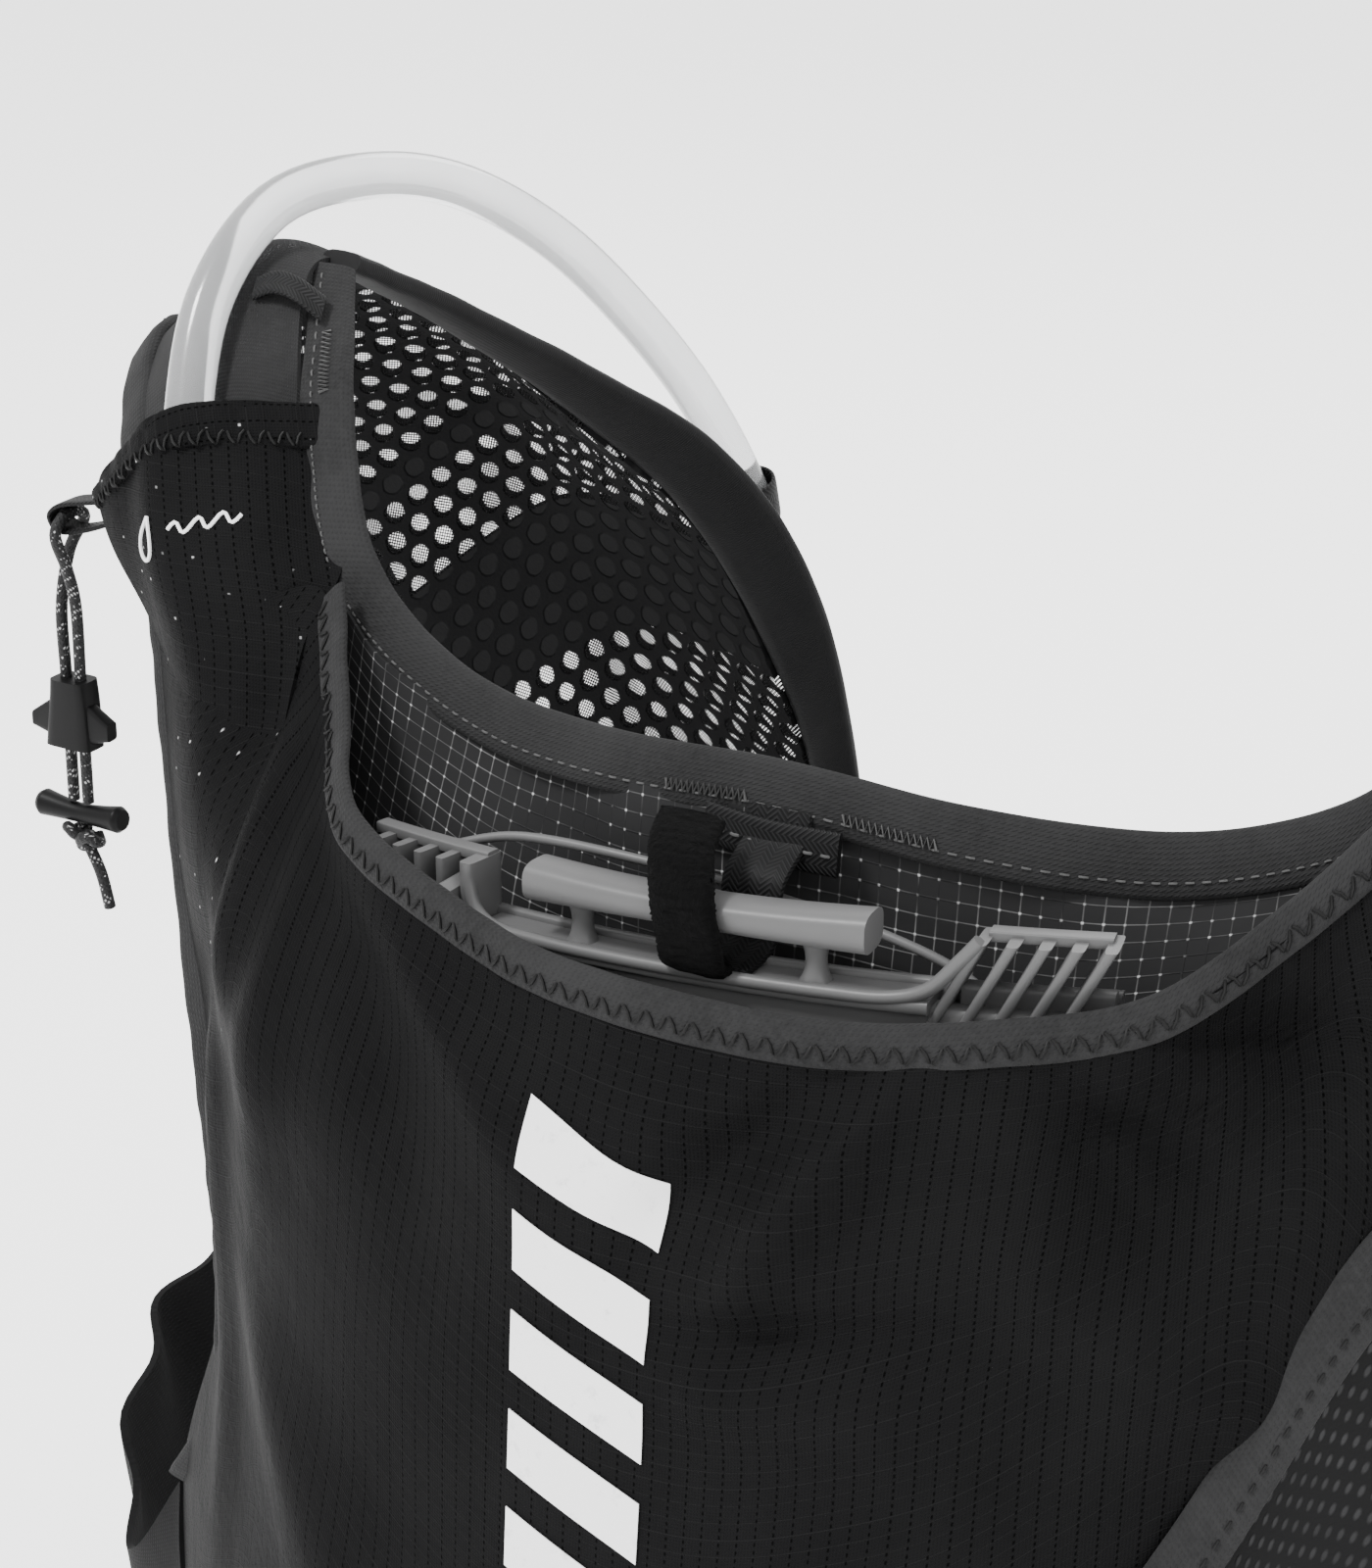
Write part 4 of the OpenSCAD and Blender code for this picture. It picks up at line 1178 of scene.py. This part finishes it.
# %% Straps
pair("_strap_mesh", strap_rows, 110, 40, 2.4, (0, 1, 0), mesh_cloth)
pair_tape("_strap_neck_tape", neck_edge, neck_seam, 160, 4.4, dark_tape,
          "_strap_neck_binding", 0.1)
pair_tape("_strap_arm_tape", arm_edge, arm_seam, 170, 4.2, grey_tape,
          "_strap_arm_binding", 0.15)
print("straps ready")

# %% [markdown]
# The wings are stretch knit under the arms. Their upper edge is gathered, so it ruffles, and a
# sine that dies away below the edge is enough to show it. The flask pockets on the straps have
# the same mesh as the back pocket, with a tape along the brim.

# %% Wings, flask pockets and keepers
def wing_wave(p):
    top = math.exp(-((p.z + 262) / 26) ** 2)
    loose = min(1, max(0, (abs(p.x) - 160) / 25))
    return 2.6 * top * math.sin(p.y * 0.24 + p.z * 0.05) * loose + soft_wave(p)


pair("_wing", wing_rows, 110, 40, 1.6, (1, 0, 0), wing_cloth, wing_wave)
pair("_flask_pocket", flask_rows, 50, 40, 1.0, (0, 1, 0), pocket_mesh)
pair_tape("_flask_tape", moved(flask_rows[0], (0, 0.2, 4)), moved(flask_rows[0], (0, 0.5, -4)), 50, 2.4,
          grey_tape, "_flask_binding")
keeper_edge = [(131, -12, -6), (137, -12, -3), (143, -11, -2.4), (148.5, -10.5, -4.6)]
pair_tape("_keeper_loop", keeper_edge, moved(keeper_edge, (2, 5, 3.2)), 40, 1.1, black_webbing,
          "_keeper_loop")
print("wings and pockets ready")

# %% [markdown]
# The sewing. The neckline tape has one line of light dashes and four dense bar tacks, the
# pocket mouth a black zigzag, and the other tapes a dark line of dashes. Every thread stops a
# little short of the ends of its tape, so no end hangs free.

# %% Stitches on the tapes
BACK, FRONT = (0, -1, 0.2), (0, 1, 0.2)
WHOLE = 0.01, 0.99


def sew(name, spot, ends, count, steps, thread, proud, radius=0.26):
    """One thread with count stitches between two ends (0..1) of a tape."""
    dress(stitched(name, spot, *ends, count, steps, proud, radius), thread)


neck_edges = both(neck_top), both(neck_low)
on_mouth = tape_spot(both(mouth_top), both(mouth_low), 0.66, BACK, 0.15)
sew("neckline_stitch", tape_spot(*neck_edges, 0.74, BACK, 0.18), WHOLE, 150, DASH, light_thread,
    1.12, 0.22)
for number, (middle, share) in enumerate([(0.061, 0.5), (0.939, 0.5), (0.473, 0.66), (0.545, 0.66)]):
    tack = tape_spot(*neck_edges, share, BACK, 0.18)
    sew("bar_tack_%d" % number, tack, (middle - 0.018, middle + 0.018), 15, TACK, light_thread, 1.15, 0.3)
sew("mouth_stitch", on_mouth, WHOLE, 62, WAVE, black_thread, 1.15, 0.3)
sew("pocket_stitch", tape_spot(*pocket_edges, 0.7, BACK, 0.1), WHOLE, 110, DASH, black_thread, 1.05)
for side, word in SIDES:
    for place, edge, seam, share, way, wobble, count, proud in (
            ("side", side_outer, side_inner, 0.72, BACK, 0.15, 60, 1.05),
            ("neck_side", neck_edge, neck_seam, 0.75, FRONT, 0.1, 100, 2.0),
            ("arm_side", arm_edge, arm_seam, 0.75, FRONT, 0.15, 90, 2.0)):
        spot = tape_spot(mirror(side, edge), mirror(side, seam), share, way, wobble)
        sew(word + "_" + place + "_stitch", spot, (0.02, 0.98), count, DASH, black_thread, proud)
print("stitches ready")

# %% [markdown]
# A column of white slanted bars is printed on the shell, a plain generic mark. It could be
# painted in the material, but a thin film keeps sharp edges at any distance. A ray cast at the
# finished cloth finds each of its points, so it follows the folds under it.

# %% Printed bars
FILM = 0.0002  # metres
BAR_TOPS = [-110 - 19 * k for k in range(8)]
BAR_START, BAR_WIDE, BAR_TALL, BAR_SLANT = -24, 27, 11.5, 10


def on_cloth(cloth, x, z):
    """The place on a finished cloth that lies straight in front of x, z."""
    hit, place, normal, _ = cloth.ray_cast(Vector((x * MM, -0.3, z * MM)), Vector((0, 1, 0)))
    assert hit, (x, z)
    return (place + normal * FILM) / MM


for number, top in enumerate(BAR_TOPS):
    rows = [[on_cloth(shell, BAR_START + BAR_WIDE * j / 24,
                      top - BAR_TALL * i / 16 - BAR_SLANT * (j / 24 - 0.5))
             for j in range(25)] for i in range(17)]
    film = grid_piece("printed_bar_%d" % number, rows)
    turn_outward(film, (0, -1, 0))
    use_modifier(film, "SOLIDIFY", thickness=FILM, offset=1)
    smooth(film, 40)
    dress(film, print_white)
print("printed bars", len(BAR_TOPS))

# %% [markdown]
# By the mouth of the left sleeve a small drop and a wave show that it is for the hose. Each is
# a thin raised line laid on the cloth in the same way.

# %% Printed drop and wave
def drop_mark(k):
    a = math.pi * k / 16
    return -147 + 3.0 * math.sin(a) * abs(math.sin(a / 2)) ** 1.5, -42.5 + 4.2 * math.cos(a)


def wave_mark(k):
    return -141 + 14 * k / 24, -39.5 + 4 * k / 24 + 1.1 * math.sin(k * math.pi / 4)


for name, mark, count in (("drop_print", drop_mark, 33), ("wave_print", wave_mark, 25)):
    line = [on_cloth(sleeves["left"], *mark(k)) for k in range(count)]
    dress(swept(name, line, lambda u: 0.38, 6), print_white)
print("drop and wave ready")

# %% [markdown]
# The water bag closes with a slide clip, a curved moulding. Its face carries a rounded ledge
# that turns up into a wall at each end. It could be cut from one block with booleans, but each
# bar swept along the clip's own curve has clean edges and soft corners, and they overlap as the
# parts of one moulding do.

# %% Body of the slide clip
CLIP_X, CLIP_Y, CLIP_R = -4, -82, 286
CLIP_LIFT, CLIP_TILT = 1.5, 0.075


def on_clip(x, z, off=0.0):
    """A point on the clip's curve, x from its middle, standing off it by off."""
    y = CLIP_Y + CLIP_R - math.sqrt(CLIP_R ** 2 - x * x) - off
    return Vector((CLIP_X + x, y, z + CLIP_LIFT + CLIP_TILT * x))


def clip_part(name, top_line, low_line, depth):
    piece = tape("clip_" + name, top_line, low_line, 40, depth, sides=24, puff=0.3, square=0.35)
    dress(piece, clip_grey, stands_for=["reservoir_clip"])


def clip_level(name, x0, x1, top, low, off, depth):
    """A bar along the clip from x0 to x1, between two heights."""
    lines = [[on_clip(x0 + (x1 - x0) * i / 8, z, off) for i in range(9)] for z in (top, low)]
    clip_part(name, *lines, depth)


RIDGE = [(-46.8, -74.2, 4.2), (-46.6, -78, 4.4), (-44.6, -82.6, 4.8), (-39, -85, 5), (-26, -85.3, 5.2),
         (-13, -85.3, 5.2), (0, -85.3, 5.2), (13, -85.3, 5.2), (26, -85.3, 5.2), (37, -85.2, 5),
         (44, -83.2, 4.8), (49, -78, 4.6), (52.5, -73.8, 4.4)]
clip_level("face", -73, 73, -86.5, -101.5, 2, 5.0)
clip_level("back", -73, 73, -84, -101.5, -2.6, 2.4)
clip_level("foot", -73, 73, -99.5, -103, 0.4, 9.0)
clip_level("shelf", -44, 44, -85, -87.6, 1.6, 8.6)
dress(tube("clip_ridge", [on_clip(*p) for p in RIDGE], 1.25, 120, 14), clip_grey)
print("clip body ready")

# %% [markdown]
# Both ends of the clip are open frames that keep it stiff and light: upright ribs and a peg on
# one side, slanted ribs on the other, under a thin rail.

# %% Ribs of the slide clip
clip_part("left_wall", *[[on_clip(x, z, 1) for z in (-74, -80, -88)] for x in (-48, -45)], 8.4)
clip_level("left_rail", -73, -45, -73.4, -75.6, -1.2, 3.0)
clip_level("right_rail", 52, 72, -73.4, -75.4, -0.8, 3.4)
for k in range(4):
    x = -53 - 5.4 * k
    lines = [[on_clip(x + half, z, 1) for z in (-74.5, -81, -88)] for half in (-1, 1)]
    clip_part("left_rib_%d" % k, *lines, 7.6)
for k in range(5):
    x = 43.5 + 5.2 * k
    lean = [(x + 8.5 * t, -91 + 16.8 * t) for t in (0, 0.5, 1)]
    lines = [[on_clip(a + half, b, 1.2) for a, b in lean] for half in (-1.1, 1.1)]
    clip_part("right_rib_%d" % k, *lines, 7.8)
clip_level("right_web", 48, 73, -83, -89, 0, 3.0)
peg_line = [on_clip(-50.6, -79.8, off) for off in (1, 4.5, 8.4)]
dress(tube("clip_peg", peg_line, 2.3, 12, 6), clip_grey)
print("clip ribs ready")

# %% [markdown]
# A carrying handle stands over the clip on two waisted stems. It bows a little between them.

# %% Handle of the slide clip
def handle_line(z, bow):
    return [on_clip(-33 + 66 * i / 12, z - bow * math.sin(math.pi * i / 12), 1.4) for i in range(13)]


handle = tape("clip_handle", handle_line(-71.4, 0.9), handle_line(-78.6, -0.7), 80, 8.6,
              sides=28, puff=0.62, square=0.7)
dress(handle, clip_grey)
for k, x in enumerate((-23, 23)):
    stem = tube("clip_stem_%d" % k, [on_clip(x, z, 1.6) for z in (-86.5, -83, -80, -76)],
                lambda u: 1.9 + 2.0 * abs(2 * u - 1) ** 2.2, 28, 18)
    dress(stem, clip_grey)
print("handle ready")

# %% [markdown]
# The bag is a clear film pillow below the clip. Two flat sheets welded at their edges puff up
# when filled, thickest in the middle, and pinch into small wrinkles at both ends. A thin line
# ties the clip to its slider.

# %% Water bag and tether
def bag_ring(u):
    """The bag's outline at u, from its top to its foot."""
    half = 68 * (1 - 0.06 * (2 * u - 1) ** 4)
    thick = 0.8 + 12 * math.sin(math.pi * u) ** 0.7
    ring = []
    for j in range(97):
        a = -2 * math.pi * j / 96
        pinch = 1 + 0.05 * math.sin(9 * a + 2 * u) * math.exp(-(min(u, 1 - u) / 0.2) ** 2)
        out = thick * pinch * math.sin(a) * (0.75 + 0.25 * abs(math.sin(a)))
        ring.append(Vector((-2 + half * math.cos(a), -89 - 3 * math.sin(math.pi * u) + out,
                            -105.5 - u * 238)))
    return ring


bag = grid_piece("water_bag", [bag_ring(i / 60) for i in range(61)], wrap=True)
close_tube(bag)
dress(bag, bag_film, stands_for=["reservoir_bag"])
tether_line = [(-62, -72, -79), (-48, -70, -75), (-24, -70, -74), (0, -70.3, -74.5), (24, -70, -77),
               (42, -70, -82), (54, -73, -92)]
dress(tube("clip_tether", tether_line, 0.9, 70), clip_grey, stands_for=["clip_tether"])
print("bag", len(bag.data.polygons), "faces")

# %% [markdown]
# The hanging tab is a strip of webbing sewn to the neckline under a patch. Its end, brushed for
# hook and loop, wraps over the clip's handle. Tiny random shifts of its points roughen the
# outline, as a bump alone would leave it clean.

# %% Hanging tab
anchor_path = [(-64.5, -61), (-67, -66), (-73.6, -70), (-75.3, -75), (-75.6, -79), (-78.5, -81.4),
               (-83, -82), (-86.5, -82)]
anchor_edges = [[(x, y, z) for y, z in anchor_path] for x in (8, -4)]
anchor = tape("hang_tab_webbing", *anchor_edges, 60, 1.5, square=0.4)
dress(anchor, black_webbing, stands_for=["hang_tab_anchor"])
patch_edges = ([(-12, -65.5, -62), (0, -66.5, -62.5), (14, -65.5, -62.5)],
               [(-12, -66.6, -69.5), (0, -68, -70), (14, -66.8, -70.5)])
dress(tape("hang_tab_patch", *patch_edges, 40, 1.6), black_webbing)
sew("hang_tab_stitch", tape_spot(*patch_edges, 0.55, BACK), (0.03, 0.97), 8, DASH, light_thread,
    0.75, 0.3)
flap_path = [(-1, -86.4, -82), (-1, -89.2, -81.2), (-1.6, -89.6, -77), (-3, -89.2, -72),
             (-5, -86.5, -67), (-8, -81, -63.5), (-10, -74, -61.5)]
flap_edges = [[(x + half, y, z) for x, y, z in flap_path] for half in (6.4, -6.4)]
flap = tape("hang_tab_flap", *flap_edges, 90, 2.6, sides=28, puff=0.6)
NAP = 0.22
fuzz = random.Random(9)
for v in flap.data.vertices:
    v.co += Vector([fuzz.uniform(-NAP, NAP) * MM for _ in range(3)])
dress(flap, tab_nap, body="tab_flap", stands_for=["hang_tab_flap"])
print("tab ready")

# %% [markdown]
# Two elastic webs cross the chest, each riding on its own strap. Two loops of webbing on the
# left strap hold the hose: each goes most of the way round it and its two tails are sewn down.

# %% Sternum webs and hose loops
FIRM = {"square": 0.4, "puff": 0.4}
for word, z in (("upper", -160), ("lower", -210)):
    run = [(-38, 111), (-19, 111.4), (0, 110.8), (19, 111.3), (38, 111)]
    web_edges = [[(x, y, z + half) for x, y in run] for half in (5, -5)]
    web = tape(word + "_strap_web", *web_edges, 80, 1.7, **FIRM)
    dress(web, black_webbing, body=word + "_strap", stands_for=[word + "_strap_web"])
LOOP_RADIUS = 5.95
for number, (x, y, z, degrees) in enumerate([(-102.4, 104.4, -69, 16), (-89.2, 116.6, -141, 5)]):
    lean = math.radians(degrees)
    axis = Vector((0, -math.sin(lean), math.cos(lean)))
    over = Vector((0, math.cos(lean), math.sin(lean)))
    turns = [math.radians(-75 + 13.75 * i) for i in range(25)]
    ring = [Vector((x, y, z)) + Vector((math.cos(a), 0, 0)) * LOOP_RADIUS
            + over * math.sin(a) * LOOP_RADIUS for a in turns]
    ring = ([ring[0] + Vector((3, 0, 0)) - over * 2.4] + ring
            + [ring[-1] + Vector((-3, 0, 0)) - over * 2.4])
    hoop = tape("hose_loop_%d" % number, [p + axis * 5 for p in ring], [p - axis * 5 for p in ring],
                90, 1.0, **FIRM)
    dress(hoop, black_webbing, stands_for=["hose_loops"])
print("webs and hose loops ready")

# %% [markdown]
# A tab of folded webbing on each arm edge carries the pole cord. The knot under the toggle is
# three coils that cross each other, which reads as a knot without tying one.

# %% Cord tabs and knots
TAB_RUN = [(164, -45.4), (174, -46.6), (184, -48.6), (190.5, -50.2), (193, -52.8), (190.6, -55.6),
           (184, -54.4), (174, -50.6), (166, -48.4)]
COILS = [(-2.2, 0, -122.6, 0.4), (1.8, -0.8, -123.4, 2.1), (0.2, 1.2, -125, 4.0)]
for side, word in SIDES:
    tab_edges = [mirror(side, [(x, y, z) for x, z in TAB_RUN]) for y in (-16.4, -23.6)]
    tab = tape(word + "_cord_tab", *tab_edges, 70, 1.0, **FIRM)
    dress(tab, black_webbing, stands_for=[word + "_cord_tab"])
    for number, (dx, dy, dz, turn) in enumerate(COILS):
        coil = [Vector((side * 191 + dx + 2.1 * math.cos(a + turn), -20.4 + dy + 1.9 * math.sin(a + turn),
                        dz + 0.9 * math.sin(2 * a + turn))) for a in (k * math.pi / 4 for k in range(8))]
        dress(tube(word + "_knot_%d" % number, coil, CORD_RADIUS, 40, 10), cord_braid)
print("tabs and knots ready")

# %% [markdown]
# The hard parts of the sternum straps, the bag's outlet and the bite valve are exact already,
# so they keep the frame's own meshes and only get a finish, in the right plastic.

# %% Finishes on the carried-over hard parts
KEPT = [(black_acetal, ["rail", "slider", "knuckle", "eye", "outlet", "valve_body"]),
        (button_grey, ["lever", "connector_button"])]
for finish, words in KEPT:
    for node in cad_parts:
        if any(w in node for w in words):
            thing = bpy.data.objects.get(node)
            if thing and thing.data:
                thing.data.materials.clear()
                thing.data.materials.append(finish)
print("hard parts dressed")
